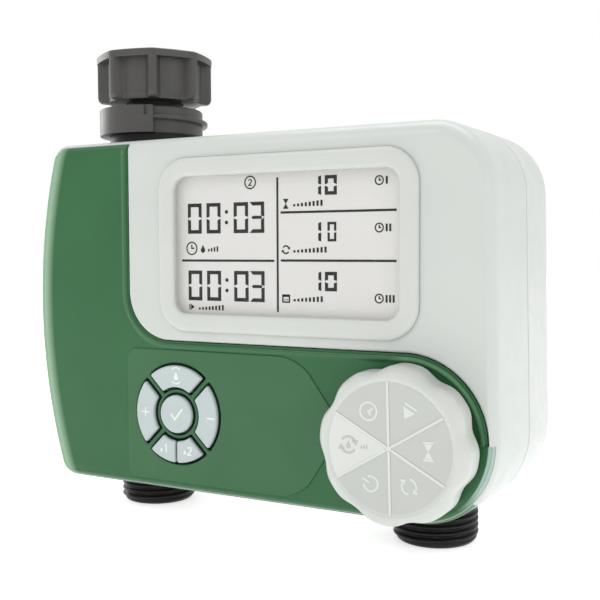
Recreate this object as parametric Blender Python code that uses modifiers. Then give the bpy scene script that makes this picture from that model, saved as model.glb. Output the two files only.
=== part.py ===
"""Two-outlet drip irrigation timer, as an assembly of separate pieces.

Metres, +Z up. The display faces -Y and the origin is the bottom centre of the whole object,
so it stands on the end faces of its two threaded outlets.
"""

import math

import bmesh
import bpy
from mathutils import Matrix

MM = 0.001
GAP = 0.3 * MM
SHARPEST = 0.8 * MM

# Planes in front of and behind the whole case, where cutters end.
FAR_FRONT = -40 * MM
FAR_BACK = 40 * MM

# Case: an outline in XZ with round corners, a bowed left side and a right side that leans
# inwards as it rises, and its depth along Y.
CASE_RIGHT = 84.2 * MM
RIGHT_Z = 40 * MM
RIGHT_LEAN = math.radians(1.3)
CASE_TOP = 126.6 * MM
CASE_BOTTOM = 11 * MM
CASE_FRONT = -23.5 * MM
CASE_BACK = 35 * MM
TOP_RIGHT_RADIUS = 20 * MM
BOTTOM_RIGHT_RADIUS = 25.3 * MM
LEFT_RADIUS = 6.5 * MM
BOW_X = 105.8 * MM
BOW_Z = 72 * MM
BOW_RADIUS = 190 * MM
FRONT_ROUND = 5.5 * MM
RIGHT_ROUND_SHARE = 0.4
SIDE_DRAFT = 2 * MM
BACK_ROUND = 9 * MM
WALL = 2.2 * MM
PARTING = 4.5 * MM

# Green front cover: the L-shaped cap on the left column and the bottom band.
COLUMN_X = -42.7 * MM
BAND_Z = 60.7 * MM
COVER_CORNER = 16 * MM
COVER_SKIRT_Y = -21.6 * MM
COVER_FACE_Y = -22.9 * MM
COVER_BACK_Y = -20.9 * MM
COVER_STEP = 3.9 * MM
LIP_WIDTH = 2.1 * MM
LEDGE_BACK_Y = -18.6 * MM

# Display, and the planes of its stack from front to back.
WINDOW_X = (-23.4 * MM, 54.3 * MM)
WINDOW_Z = (70 * MM, 113.4 * MM)
WINDOW_RADIUS = 4.5 * MM
BEZEL_MARGIN = 6 * MM
BEZEL_FRONT_Y = -24.8 * MM
BEZEL_NECK_IN = 2 * MM
LENS_Y = (-22.8 * MM, -21.4 * MM)
PANEL_Y = (-21 * MM, -19.3 * MM)
LIGHT_Y = (-19 * MM, -17.9 * MM)

# Keypad.
KEYPAD_X = -23.4 * MM
KEYPAD_Z = 37 * MM
KEY_OUTER = 15.9 * MM
KEY_INNER = 8.8 * MM
OK_RADIUS = 6.2 * MM
KEY_GAP = 2.9 * MM
KEY_FRONT_Y = -24.5 * MM
KEY_FLANGE = 0.5 * MM
KEY_FLANGE_Y = (-21.6 * MM, -20.8 * MM)
KEY_HOLE_RADIUS = KEY_OUTER + 1.1 * MM
PLATE_Y = (-23.3 * MM, -22 * MM)
MAT_Y = (-19.5 * MM, -17.95 * MM)

# Selector knob.
KNOB_X = 55.8 * MM
KNOB_Z = 35.6 * MM
KNOB_RADIUS = 22.8 * MM
KNOB_NOTCH = 1.4 * MM
KNOB_LOBES = 8
KNOB_NOTCH_ANGLE = math.radians(14)
KNOB_FRONT_Y = -35 * MM
KNOB_BACK_Y = -24.9 * MM
CIRCLE_Z = 36.3 * MM
COVER_CIRCLE = BAND_Z - CIRCLE_Z
SPINDLE_RADIUS = 2.6 * MM

# Electronics.
BOARD_FRONT_Y = -17.6 * MM
BOARD_BACK_Y = -16 * MM
BOARD_X = (-42 * MM, 67 * MM)
BOARD_Z = (21 * MM, 117 * MM)

# Water path: the inlet above the left outlet, and the two outlets.
INLET_X = -52 * MM
OUTLET_XS = (INLET_X, 55 * MM)
PIPE_Y = PARTING
NUT_TOP = 158.5 * MM
NUT_BOTTOM = 142.2 * MM
NUT_RIM = 2.5 * MM
NUT_RADIUS = 20.5 * MM
NUT_CORNER_ANGLE = math.radians(-55)
NUT_SIDES = 8
NUT_BORE = 13 * MM
COLLAR_TOP = 139.6 * MM
COLLAR_BOTTOM = 129.3 * MM
THREAD_RADIUS = 13.2 * MM
THREAD_ROOT = 12.2 * MM
THREAD_PITCH = 2 * MM
SPIGOT_RADIUS = 9.6 * MM
CROSS_PIPE_Z = 30 * MM
HEADER_Z = 84 * MM
DROP_X = 1.5 * MM
PIPE_RADIUS = 8 * MM
PIPE_BORE = 5.5 * MM

# Battery compartment in the back.
CELL_RADIUS = 7.25 * MM
CELL_LENGTH = 50.5 * MM
CELL_ZS = (84.7 * MM, 101.3 * MM)
CELL_Y = 22.7 * MM
TRAY_X = (7.5 * MM, 66.5 * MM)
TRAY_Z = (75.1 * MM, 110.9 * MM)
TRAY_Y = (13.6 * MM, 30.5 * MM)
TRAY_WALL = 1.5 * MM
DOOR_X = (5 * MM, 69 * MM)
DOOR_Z = (72 * MM, 114 * MM)
DOOR_THICKNESS = 1.8 * MM
PAD_Y = 30.8 * MM

SCREWS = ((-70.5 * MM, 111 * MM), (-70.5 * MM, 30 * MM), (71.6 * MM, 110 * MM), (73.6 * MM, 32 * MM))
BOSS_RADIUS = 3.6 * MM
SCREW_HEAD = 3.1 * MM
SCREW_SHANK = 1.25 * MM


# ---------------------------------------------------------------- scene helpers


def clear_scene():
    for obj in list(bpy.data.objects):
        bpy.data.objects.remove(obj, do_unlink=True)


def new_collection(name):
    collection = bpy.data.collections.new(name)
    bpy.context.scene.collection.children.link(collection)
    return collection


clear_scene()
PARTS = new_collection("drip_irrigation_timer")
CUTTERS = new_collection("cutters")


def material(name, colour, roughness, metallic=0.0):
    made = bpy.data.materials.new(name)
    made.use_nodes = True
    shader = made.node_tree.nodes["Principled BSDF"]
    shader.inputs["Base Color"].default_value = (*colour, 1.0)
    shader.inputs["Roughness"].default_value = roughness
    shader.inputs["Metallic"].default_value = metallic
    return made


GREEN = material("green_plastic", (0.07, 0.17, 0.09), 0.3)
WHITE = material("white_plastic", (0.66, 0.69, 0.66), 0.35)
BLACK = material("black_plastic", (0.02, 0.02, 0.022), 0.45)
CHARCOAL = material("charcoal_plastic", (0.06, 0.06, 0.065), 0.5)
KEY_GREY = material("key_grey", (0.5, 0.6, 0.58), 0.4)
KNOB_GREY = material("knob_grey", (0.6, 0.62, 0.58), 0.4)
CLEAR = material("clear_plastic", (0.9, 0.92, 0.9), 0.05)
LCD_GREY = material("lcd_glass", (0.68, 0.68, 0.64), 0.3)
RUBBER = material("rubber", (0.03, 0.03, 0.03), 0.8)
STEEL = material("steel", (0.6, 0.6, 0.6), 0.3, 1.0)
COPPER = material("coil_winding", (0.5, 0.2, 0.08), 0.4, 0.6)
BOARD_GREEN = material("board", (0.02, 0.12, 0.05), 0.5)
MOULDED = material("moulded_grey", (0.25, 0.26, 0.27), 0.5)
CELL = material("cell_sleeve", (0.1, 0.15, 0.35), 0.35)


def finish(obj, name, finish_material=None):
    """Gives a shape its name, material and smooth shading; without a material it is a cutter."""
    obj.name = name
    obj.data.name = name
    for collection in list(obj.users_collection):
        collection.objects.unlink(obj)
    if finish_material is None:
        CUTTERS.objects.link(obj)
        obj.hide_render = True
        obj.display_type = "WIRE"
        return obj
    PARTS.objects.link(obj)
    obj.data.materials.clear()
    obj.data.materials.append(finish_material)
    obj.data.shade_smooth()
    obj.data.set_sharp_from_angle(angle=math.radians(32))
    return obj


def from_bmesh(shape):
    bmesh.ops.recalc_face_normals(shape, faces=shape.faces)
    mesh = bpy.data.meshes.new("shape")
    shape.to_mesh(mesh)
    shape.free()
    obj = bpy.data.objects.new("shape", mesh)
    bpy.context.scene.collection.objects.link(obj)
    return obj


def to_mesh(obj):
    """Replaces a curve, or an object with modifiers, by its evaluated and welded mesh."""
    bpy.context.view_layer.update()
    evaluated = obj.evaluated_get(bpy.context.evaluated_depsgraph_get())
    mesh = bpy.data.meshes.new_from_object(evaluated)
    shape = bmesh.new()
    shape.from_mesh(mesh)
    bmesh.ops.remove_doubles(shape, verts=shape.verts, dist=0.002 * MM)
    bmesh.ops.recalc_face_normals(shape, faces=shape.faces)
    shape.to_mesh(mesh)
    shape.free()
    made = bpy.data.objects.new("shape", mesh)
    made.matrix_world = obj.matrix_world
    bpy.context.scene.collection.objects.link(made)
    bpy.data.objects.remove(obj, do_unlink=True)
    return made


def boolean(obj, other, operation):
    modifier = obj.modifiers.new(other.name, "BOOLEAN")
    modifier.operation = operation
    modifier.solver = "EXACT"
    modifier.object = other
    return obj


def origin_to(obj, place):
    """Moves an object's origin onto its joint, and leaves its shape where it is."""
    target = Matrix.Translation(place)
    obj.data.transform(target.inverted() @ obj.matrix_world)
    obj.matrix_world = target
    return obj


def cut(obj, *cutters):
    for number, cutter in enumerate(cutters):
        boolean(obj, finish(cutter, f"{obj.name}_cut_{len(obj.modifiers)}_{number}"), "DIFFERENCE")
    return obj


def join(obj, *others):
    for number, other in enumerate(others):
        boolean(obj, finish(other, f"{obj.name}_join_{len(obj.modifiers)}_{number}"), "UNION")
    return obj


# ---------------------------------------------------------------- shape helpers


def arc(centre_x, centre_z, radius, start, end, steps, radius_z=None):
    """Points along an arc in the XZ plane, both ends included; angles in radians."""
    height = radius if radius_z is None else radius_z
    points = []
    for step in range(steps + 1):
        angle = start + (end - start) * step / steps
        points.append((centre_x + radius * math.cos(angle), centre_z + height * math.sin(angle)))
    return points


def loft(outline, stations):
    """A solid through (y, inset) stations, front to back, where outline(inset) gives its XZ points."""
    shape = bmesh.new()
    rings = []
    for y, inset in stations:
        rings.append([shape.verts.new((x, y, z)) for x, z in outline(inset)])
    for front, back in zip(rings, rings[1:]):
        for i in range(len(front)):
            j = (i + 1) % len(front)
            shape.faces.new((front[i], front[j], back[j], back[i]))
    shape.faces.new(rings[0])
    shape.faces.new(rings[-1])
    return from_bmesh(shape)


def rounded_edge(y_end, y_inner, inset, steps=3):
    """Stations of a quarter-round edge that starts at the end plane y_end."""
    radius = abs(y_inner - y_end)
    side = math.copysign(1, y_inner - y_end)
    stations = []
    for step in range(steps + 1):
        angle = math.pi / 2 * step / steps
        y = y_end + side * radius * (1 - math.cos(angle))
        stations.append((y, inset + radius * (1 - math.sin(angle))))
    return stations


def round_rect(x_range, z_range, radius, grow=0.0, steps=5):
    """Outline of a rectangle with round corners, moved outwards by grow."""
    left, right = x_range[0] - grow, x_range[1] + grow
    low, high = z_range[0] - grow, z_range[1] + grow
    radius = max(radius + grow, SHARPEST)
    corners = ((right, high), (left, high), (left, low), (right, low))
    points = []
    for turn, (x, z) in enumerate(corners):
        centre_x = x - math.copysign(radius, x - (left + right) / 2)
        centre_z = z - math.copysign(radius, z - (low + high) / 2)
        start = turn * math.pi / 2
        points += arc(centre_x, centre_z, radius, start, start + math.pi / 2, steps)
    return points


def circle(x, z, radius, steps=32):
    return arc(x, z, radius, 0, 2 * math.pi * (steps - 1) / steps, steps - 1)


def flat_shape(outlines, thickness):
    """Outlines in XY, centred on Z = 0; the first one is the edge and the others are holes."""
    curve = bpy.data.curves.new("outline", "CURVE")
    curve.dimensions = "2D"
    curve.fill_mode = "BOTH"
    curve.extrude = thickness / 2
    for outline in outlines:
        spline = curve.splines.new("POLY")
        spline.points.add(len(outline) - 1)
        for point, (x, y) in zip(spline.points, outline):
            point.co = (x, y, 0, 1)
        spline.use_cyclic_u = True
    obj = bpy.data.objects.new("outline", curve)
    bpy.context.scene.collection.objects.link(obj)
    return to_mesh(obj)


def slab(outlines, y_front, y_back):
    """A flat shape facing -Y, between two Y planes; its outlines are in XZ."""
    obj = flat_shape(outlines, y_back - y_front)
    middle = Matrix.Translation((0, (y_front + y_back) / 2, 0))
    obj.matrix_world = middle @ Matrix.Rotation(math.pi / 2, 4, "X")
    return obj


def lying_slab(outlines, z_low, z_high, centre):
    """A flat shape facing +Z, between two heights; its outlines are in XY around a centre."""
    obj = flat_shape(outlines, z_high - z_low)
    obj.matrix_world = Matrix.Translation((*centre, (z_low + z_high) / 2))
    return obj


def box(x_range, y_range, z_range):
    shape = bmesh.new()
    bmesh.ops.create_cube(shape, size=1)
    sides = [high - low for low, high in (x_range, y_range, z_range)]
    centre = [(low + high) / 2 for low, high in (x_range, y_range, z_range)]
    bmesh.ops.scale(shape, vec=sides, verts=shape.verts)
    bmesh.ops.translate(shape, vec=centre, verts=shape.verts)
    return from_bmesh(shape)


TURN_TO_AXIS = {
    "Z": Matrix.Identity(4),
    "Y": Matrix.Rotation(-math.pi / 2, 4, "X"),
    "X": Matrix.Rotation(math.pi / 2, 4, "Y"),
}


def rod(radius, start, end, place, axis="Z", steps=24):
    """A cylinder along an axis, from start to end on it; place is its centre line's point."""
    shape = bmesh.new()
    bmesh.ops.create_cone(
        shape, cap_ends=True, segments=steps, radius1=radius, radius2=radius, depth=end - start
    )
    bmesh.ops.translate(shape, vec=(0, 0, (start + end) / 2), verts=shape.verts)
    obj = from_bmesh(shape)
    obj.matrix_world = Matrix.Translation(place) @ TURN_TO_AXIS[axis]
    return obj


def turned(profile, place, axis="Z", steps=24, ring=True):
    """A turned piece: (radius, height) points down the outer side, then back up the inner one."""
    mesh = bpy.data.meshes.new("profile")
    count = len(profile)
    edges = [(i, i + 1) for i in range(count - 1)]
    if ring:
        edges.append((count - 1, 0))
    mesh.from_pydata([(radius, 0, height) for radius, height in profile], edges, [])
    obj = bpy.data.objects.new("turned", mesh)
    obj.matrix_world = Matrix.Translation(place) @ TURN_TO_AXIS[axis]
    bpy.context.scene.collection.objects.link(obj)
    screw = obj.modifiers.new("turn", "SCREW")
    screw.steps = steps
    screw.render_steps = steps
    screw.use_merge_vertices = True
    screw.merge_threshold = 0.005 * MM
    return obj


def scaled(profile):
    """A profile given in millimetres."""
    return [(radius * MM, height * MM) for radius, height in profile]


def tube(points, radius, resolution=2):
    """A round wire or pipe along points."""
    curve = bpy.data.curves.new("path", "CURVE")
    curve.dimensions = "3D"
    curve.bevel_depth = radius
    curve.bevel_resolution = resolution
    curve.use_fill_caps = True
    spline = curve.splines.new("POLY")
    spline.points.add(len(points) - 1)
    for point, place in zip(spline.points, points):
        point.co = (*place, 1)
    obj = bpy.data.objects.new("path", curve)
    bpy.context.scene.collection.objects.link(obj)
    return to_mesh(obj)


def ring(radius, thickness, place, axis="Z", steps=16, sides=6):
    """An O-ring."""
    profile = []
    for side in range(sides):
        angle = math.pi / 2 - 2 * math.pi * side / sides
        profile.append((radius + thickness * math.cos(angle), thickness * math.sin(angle)))
    return turned(profile, place, axis, steps)


def coil(place, radius, wire, start, end, turns, axis="Z", taper=0.0):
    """A helical spring along an axis."""
    per_turn = 8
    count = turns * per_turn
    points = []
    for step in range(count + 1):
        part = step / count
        angle = 2 * math.pi * turns * part
        reach = radius - taper * part
        height = start + wire + (end - start - 2 * wire) * part
        points.append((reach * math.cos(angle), reach * math.sin(angle), height))
    obj = tube(points, wire, 1)
    obj.matrix_world = Matrix.Translation(place) @ TURN_TO_AXIS[axis]
    return obj


# ---------------------------------------------------------------- case


def right_corner(z, radius, inset, side_inset, start, end, steps):
    """A corner whose centre is at height z and keeps its distance to the leaning right side."""
    x = CASE_RIGHT - radius / math.cos(RIGHT_LEAN) - (z - RIGHT_Z) * math.tan(RIGHT_LEAN)
    return arc(x, z, radius - side_inset, start, end, steps, radius - inset)


def case_outline(inset, side_inset=None):
    """The case's outline in XZ, anticlockwise from the right side and moved inwards by inset.

    The right side moves by side_inset where that is given.
    """
    if side_inset is None:
        side_inset = inset
    top, bottom = CASE_TOP - inset, CASE_BOTTOM + inset
    bow = BOW_RADIUS - inset
    left = max(LEFT_RADIUS - inset, SHARPEST)

    def left_centre(z):
        return BOW_X - math.sqrt((bow - left) ** 2 - (z - BOW_Z) ** 2), z

    upper = left_centre(top - left)
    lower = left_centre(bottom + left)
    upper_angle = math.atan2(upper[1] - BOW_Z, upper[0] - BOW_X)
    lower_angle = math.atan2(lower[1] - BOW_Z, lower[0] - BOW_X) + 2 * math.pi
    quarter = math.pi / 2
    full = 2 * math.pi + RIGHT_LEAN
    insets = (inset, side_inset)
    points = right_corner(CASE_TOP - TOP_RIGHT_RADIUS, TOP_RIGHT_RADIUS, *insets, RIGHT_LEAN, quarter, 6)
    points += arc(*upper, left, quarter, upper_angle, 3)
    points += arc(BOW_X, BOW_Z, bow, upper_angle, lower_angle, 7)[1:-1]
    points += arc(*lower, left, lower_angle, 3 * quarter, 3)
    low_z = CASE_BOTTOM + BOTTOM_RIGHT_RADIUS
    points += right_corner(low_z, BOTTOM_RIGHT_RADIUS, *insets, 3 * quarter, full, 7)
    return points


def case_block(stations):
    return loft(case_outline, stations)


def front_block(stations, share=RIGHT_ROUND_SHARE):
    """A block whose right side leans in towards the front and takes only a share of each inset."""
    insets = []
    for y, inset in stations:
        draft = SIDE_DRAFT * (PARTING - y) / (PARTING - CASE_FRONT)
        insets.append((y, (inset, inset * share + draft)))
    return loft(lambda pair: case_outline(*pair), insets)


def edge_inset(y):
    """How far the case's rounded front edge stands inside its outline at a depth."""
    return FRONT_ROUND - math.sqrt(FRONT_ROUND**2 - (CASE_FRONT + FRONT_ROUND - y) ** 2)


def cover_outline(grow, top=CASE_TOP + 20 * MM):
    """The green cover's outline; the parts past the case's edge are far outside it."""
    far_left, far_right, far_low = -120 * MM, 120 * MM, -10 * MM
    corner_x = COLUMN_X + COVER_CORNER
    corner_z = BAND_Z + COVER_CORNER
    points = [(COLUMN_X + grow, top)]
    points += arc(corner_x, corner_z, COVER_CORNER - grow, math.pi, 1.5 * math.pi, 6)
    points += arc(KNOB_X, CIRCLE_Z, COVER_CIRCLE + grow, math.pi / 2, 0, 10)
    points += [(far_right, CIRCLE_Z + grow), (far_right, far_low), (far_left, far_low), (far_left, top)]
    return points


def display_outline(inset):
    """The part of the front that the green cover leaves free, moved inwards by inset."""
    far = 120 * MM
    corner_x = COLUMN_X + COVER_CORNER
    corner_z = BAND_Z + COVER_CORNER
    points = [(COLUMN_X + inset, 2 * far)]
    points += arc(corner_x, corner_z, COVER_CORNER - inset, math.pi, 1.5 * math.pi, 6)
    points += arc(KNOB_X, CIRCLE_Z, COVER_CIRCLE + inset, math.pi / 2, 0, 10)
    points += [(far, CIRCLE_Z + inset), (far, 2 * far)]
    return points


def keypad_plate_outline(grow):
    """Round-cornered plate whose right end is an arrow towards the knob."""
    left, low, high = -43.6 * MM - grow, 14.6 * MM - grow, 57.8 * MM + grow
    shoulder, tip = 17.5 * MM, 36.5 * MM + 1.4 * grow
    slope = math.radians(45)
    corner = 3.5 * MM + grow
    bend = 16 * MM
    points = arc(left + corner, high - corner, corner, math.pi, math.pi / 2, 4)
    points += arc(shoulder - 4 * MM, high - bend, bend, math.pi / 2, math.pi / 2 - slope, 4)
    points += [(tip, KEYPAD_Z)]
    points += arc(shoulder - 4 * MM, low + bend, bend, slope - math.pi / 2, -math.pi / 2, 4)
    points += arc(left + corner, low + corner, corner, 1.5 * math.pi, math.pi, 4)
    return points


def shell_openings():
    """Cutters for the inlet and outlet holes, which both halves share."""
    holes = [rod(16.4 * MM, 115 * MM, 135 * MM, (INLET_X, PIPE_Y, 0), steps=40)]
    holes += [rod(13.6 * MM, 5 * MM, 20 * MM, (x, PIPE_Y, 0), steps=32) for x in OUTLET_XS]
    return holes


def front_cover():
    whole_edge = rounded_edge(CASE_FRONT, CASE_FRONT + FRONT_ROUND, 0)
    edge = [(y, inset) for y, inset in whole_edge if y < COVER_SKIRT_Y]
    step = [(COVER_SKIRT_Y, edge_inset(COVER_SKIRT_Y)), (COVER_SKIRT_Y, COVER_STEP), (COVER_BACK_Y, COVER_STEP)]
    cover = finish(front_block(edge + step), "front_cover", GREEN)
    region = finish(slab([cover_outline(-GAP / 2)], FAR_FRONT, 0), "front_cover_region")
    boolean(cover, region, "INTERSECT")
    face = slab([cover_outline(-GAP / 2 - LIP_WIDTH)], FAR_FRONT, COVER_FACE_Y)
    plate = slab([keypad_plate_outline(GAP)], FAR_FRONT, -21.7 * MM)
    keys = rod(KEY_HOLE_RADIUS, FAR_FRONT, 0, (KEYPAD_X, 0, KEYPAD_Z), "Y", 40)
    spindle = rod(SPINDLE_RADIUS + 0.6 * MM, FAR_FRONT, 0, (KNOB_X, 0, KNOB_Z), "Y")
    return cut(cover, face, plate, keys, spindle)


def cover_recess():
    """The room that the green cover takes from the white housing, with a gap all round."""
    recess = slab([cover_outline(GAP / 2)], FAR_FRONT, COVER_BACK_Y + GAP)
    recess = finish(recess, "housing_recess")
    step_y = COVER_SKIRT_Y + GAP
    inner = COVER_STEP - GAP
    room = finish(front_block([(FAR_FRONT, -GAP), (step_y, -GAP), (step_y, inner), (0, inner)]), "recess_room")
    return boolean(recess, room, "INTERSECT")


def display_housing():
    edge = rounded_edge(CASE_FRONT, CASE_FRONT + FRONT_ROUND, 0)
    housing = finish(front_block(edge + [(PARTING - GAP / 2, 0)]), "display_housing", WHITE)
    cut(housing, cover_recess())
    ledge = 4.5 * MM
    depths = [(LEDGE_BACK_Y, ledge), (-16.6 * MM, ledge), (-14 * MM, WALL), (10 * MM, WALL)]
    cavity = front_block(depths, 1)
    display_back = CASE_FRONT + WALL
    room = finish(slab([display_outline(2 * MM)], display_back, -17 * MM), "housing_room")
    room_edge = finish(front_block([(display_back, ledge), (0, ledge)], 1), "housing_room_edge")
    cut(housing, cavity, boolean(room, room_edge, "INTERSECT"), *shell_openings())
    for x, z in SCREWS:
        behind_cover = x < COLUMN_X or z < BAND_Z
        start = (LEDGE_BACK_Y if behind_cover else display_back) - 0.5 * MM
        join(housing, rod(BOSS_RADIUS, start, PARTING - GAP / 2, (x, 0, z), "Y", 16))
    for x, z in SCREWS:
        cut(housing, rod(SCREW_SHANK + GAP, -12 * MM, 10 * MM, (x, 0, z), "Y", 12))
    neck = round_rect(WINDOW_X, WINDOW_Z, WINDOW_RADIUS, BEZEL_MARGIN - BEZEL_NECK_IN)
    opening = slab([neck], FAR_FRONT, -15 * MM)
    keys = rod(KEY_HOLE_RADIUS, FAR_FRONT, -15 * MM, (KEYPAD_X, 0, KEYPAD_Z), "Y", 40)
    spindle = rod(5.1 * MM, FAR_FRONT, -15 * MM, (KNOB_X, 0, KNOB_Z), "Y")
    return cut(housing, opening, keys, spindle)


def rear_shell():
    edge = rounded_edge(CASE_BACK, CASE_BACK - BACK_ROUND, 0, 4)
    shell = finish(case_block([(PARTING + GAP / 2, 0)] + edge[::-1]), "rear_shell", WHITE)
    inner = rounded_edge(CASE_BACK - WALL, CASE_BACK - BACK_ROUND, WALL)
    cut(shell, case_block([(0, WALL)] + inner[::-1]), *shell_openings())
    join(shell, slab([round_rect(DOOR_X, DOOR_Z, 3 * MM, 3.5 * MM, 3)], PAD_Y, CASE_BACK - WALL / 2))
    for x, z in SCREWS:
        join(shell, rod(BOSS_RADIUS + MM, PARTING + GAP / 2, CASE_BACK - WALL, (x, 0, z), "Y", 16))
    for x, z in SCREWS:
        cut(
            shell,
            rod(SCREW_SHANK + 0.4 * MM, 0, FAR_BACK, (x, 0, z), "Y", 12),
            rod(SCREW_HEAD + 0.4 * MM, 12 * MM, FAR_BACK, (x, 0, z), "Y", 16),
        )
    door_floor = CASE_BACK - DOOR_THICKNESS - GAP
    opening = slab([round_rect(TRAY_X, TRAY_Z, MM, -TRAY_WALL, 1)], 25 * MM, FAR_BACK)
    rebate = slab([round_rect(DOOR_X, DOOR_Z, 2 * MM, GAP, 3)], door_floor, FAR_BACK)
    pivots = (DOOR_X[0] - 2.4 * MM, DOOR_X[1] + 2.4 * MM)
    slots = box(pivots, (door_floor, FAR_BACK), (DOOR_Z[0] - GAP, DOOR_Z[0] + 2.1 * MM))
    groove = slab(door_seal_outlines(0.2 * MM), door_floor - 0.9 * MM, door_floor + 0.5 * MM)
    finger_place = (sum(DOOR_X) / 2, 0, DOOR_Z[1] + 3 * MM)
    finger = rod(9 * MM, CASE_BACK - 1.6 * MM, FAR_BACK, finger_place, "Y", 24)
    return cut(shell, opening, rebate, slots, groove, finger)


def case_screw(number, x, z):
    head_back = 15.5 * MM
    profile = (
        (0, head_back),
        (SCREW_HEAD * 0.6, head_back),
        (SCREW_HEAD, head_back - 0.8 * MM),
        (SCREW_HEAD, 12.4 * MM),
        (SCREW_SHANK, 12.4 * MM),
        (SCREW_SHANK, -10 * MM),
        (0, -11.4 * MM),
    )
    screw = finish(turned(profile, (x, 0, z), "Y", 16, ring=False), f"case_screw_{number}", STEEL)
    for turn in (0, 1):
        half = (0.35 * MM, 1.6 * MM)
        x_half, z_half = half if turn else half[::-1]
        slot = box((x - x_half, x + x_half), (14.2 * MM, 20 * MM), (z - z_half, z + z_half))
        cut(screw, slot)
    return screw


# ---------------------------------------------------------------- display


def lcd_bezel():
    outer = round_rect(WINDOW_X, WINDOW_Z, WINDOW_RADIUS, BEZEL_MARGIN)
    window = round_rect(WINDOW_X, WINDOW_Z, WINDOW_RADIUS)
    bezel = finish(slab([outer, window], BEZEL_FRONT_Y, CASE_FRONT - GAP), "lcd_bezel", WHITE)
    neck = round_rect(WINDOW_X, WINDOW_Z, WINDOW_RADIUS, BEZEL_MARGIN - BEZEL_NECK_IN - GAP)
    pocket = round_rect(WINDOW_X, WINDOW_Z, WINDOW_RADIUS, 1.8 * MM)
    join(bezel, slab([neck, window], CASE_FRONT - 1 * MM, CASE_FRONT + WALL))
    return cut(bezel, slab([pocket], -23.1 * MM, -10 * MM))


def lcd_window():
    outline = round_rect(WINDOW_X, WINDOW_Z, WINDOW_RADIUS, 1.5 * MM)
    return finish(slab([outline], *LENS_Y), "lcd_window", CLEAR)


def lcd_panel():
    outline = round_rect(WINDOW_X, WINDOW_Z, MM, 2.6 * MM, 1)
    return finish(slab([outline], *PANEL_Y), "lcd_panel", LCD_GREY)


def lcd_backlight():
    outline = round_rect(WINDOW_X, WINDOW_Z, MM, 2.6 * MM, 1)
    return finish(slab([outline], *LIGHT_Y), "lcd_backlight", WHITE)


# ---------------------------------------------------------------- keypad


def key_sector(start, end, grow):
    """A button's outline: a ring sector whose straight sides run parallel to the gaps beside it."""
    points = []
    for radius, turn in ((KEY_OUTER + grow, 1), (KEY_INNER - grow, -1)):
        half_gap = math.asin((KEY_GAP / 2 - grow) / radius)
        span = [start + half_gap, end - half_gap][::turn]
        points += arc(KEYPAD_X, KEYPAD_Z, radius, *span, 8)
    return points


def half_sector(side, grow):
    """Half of the bottom sector: the two zone buttons meet at a narrow gap below the centre."""
    split = math.radians(270)
    edge = math.radians(225 if side < 0 else 315)
    points = []
    for radius, turn in ((KEY_OUTER + grow, 1), (KEY_INNER - grow, -1)):
        outer_gap = math.asin((KEY_GAP / 2 - grow) / radius)
        inner_gap = math.asin((KEY_GAP / 4 - grow / 2) / radius)
        span = [edge - side * outer_gap, split + side * inner_gap]
        if side > 0:
            span.reverse()
        points += arc(KEYPAD_X, KEYPAD_Z, radius, *span[::turn], 5)
    return points


def ok_outline(grow):
    return circle(KEYPAD_X, KEYPAD_Z, OK_RADIUS + grow, 28)


KEYS = {
    "button_manual": lambda grow: key_sector(math.radians(45), math.radians(135), grow),
    "button_plus": lambda grow: key_sector(math.radians(135), math.radians(225), grow),
    "button_minus": lambda grow: key_sector(math.radians(-45), math.radians(45), grow),
    "button_zone_1": lambda grow: half_sector(-1, grow),
    "button_zone_2": lambda grow: half_sector(1, grow),
    "button_ok": ok_outline,
}


def button(name):
    outline = KEYS[name]
    key = slab([outline(0)], KEY_FRONT_Y, sum(KEY_FLANGE_Y) / 2)
    flange = 0.2 * MM if "zone" in name else KEY_FLANGE
    middle_x, middle_z = (sum(values) / len(values) for values in zip(*outline(0)))
    origin_to(key, (middle_x, KEY_FRONT_Y, middle_z))
    return join(finish(key, name, KEY_GREY), slab([outline(flange)], *KEY_FLANGE_Y))


def keypad_plate():
    bottom = key_sector(math.radians(225), math.radians(315), GAP)
    holes = [KEYS[name](GAP) for name in KEYS if "zone" not in name] + [bottom]
    plate = slab([keypad_plate_outline(0)] + holes, *PLATE_Y)
    return finish(plate, "keypad_plate", GREEN)


def keypad_mat():
    mat = rod(KEY_OUTER + 0.7 * MM, *MAT_Y, (KEYPAD_X, 0, KEYPAD_Z), "Y", 40)
    return finish(mat, "keypad_mat", RUBBER)


# ---------------------------------------------------------------- selector


def knob_outline(inset, per_lobe=6):
    """Eight broad lobes with shallow round notches between them."""
    points = []
    lobe = 2 * math.pi / KNOB_LOBES
    for step in range(KNOB_LOBES * per_lobe):
        angle = lobe * step / per_lobe
        depth = KNOB_NOTCH * ((1 + math.cos(KNOB_LOBES * angle)) / 2) ** 2
        radius = KNOB_RADIUS - inset - depth
        turn = angle + KNOB_NOTCH_ANGLE
        points.append((KNOB_X + radius * math.cos(turn), KNOB_Z + radius * math.sin(turn)))
    return points


def selector_knob():
    face = 2.4 * MM
    rim = 3 * MM
    body = loft(knob_outline, rounded_edge(KNOB_FRONT_Y, KNOB_FRONT_Y + rim, 0) + [(KNOB_BACK_Y, 0)])
    origin_to(body, (KNOB_X, KNOB_FRONT_Y, KNOB_Z))
    knob = finish(body, "selector_knob", KNOB_GREY)
    hollow = rod(19 * MM, KNOB_FRONT_Y + face, 0, (KNOB_X, 0, KNOB_Z), "Y", 40)
    hub = rod(6 * MM, KNOB_FRONT_Y + MM, KNOB_BACK_Y, (KNOB_X, 0, KNOB_Z), "Y")
    bore = rod(SPINDLE_RADIUS + GAP, KNOB_FRONT_Y + 3.5 * MM, 0, (KNOB_X, 0, KNOB_Z), "Y")
    cut(knob, hollow)
    join(knob, hub)
    return cut(knob, bore)


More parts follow.
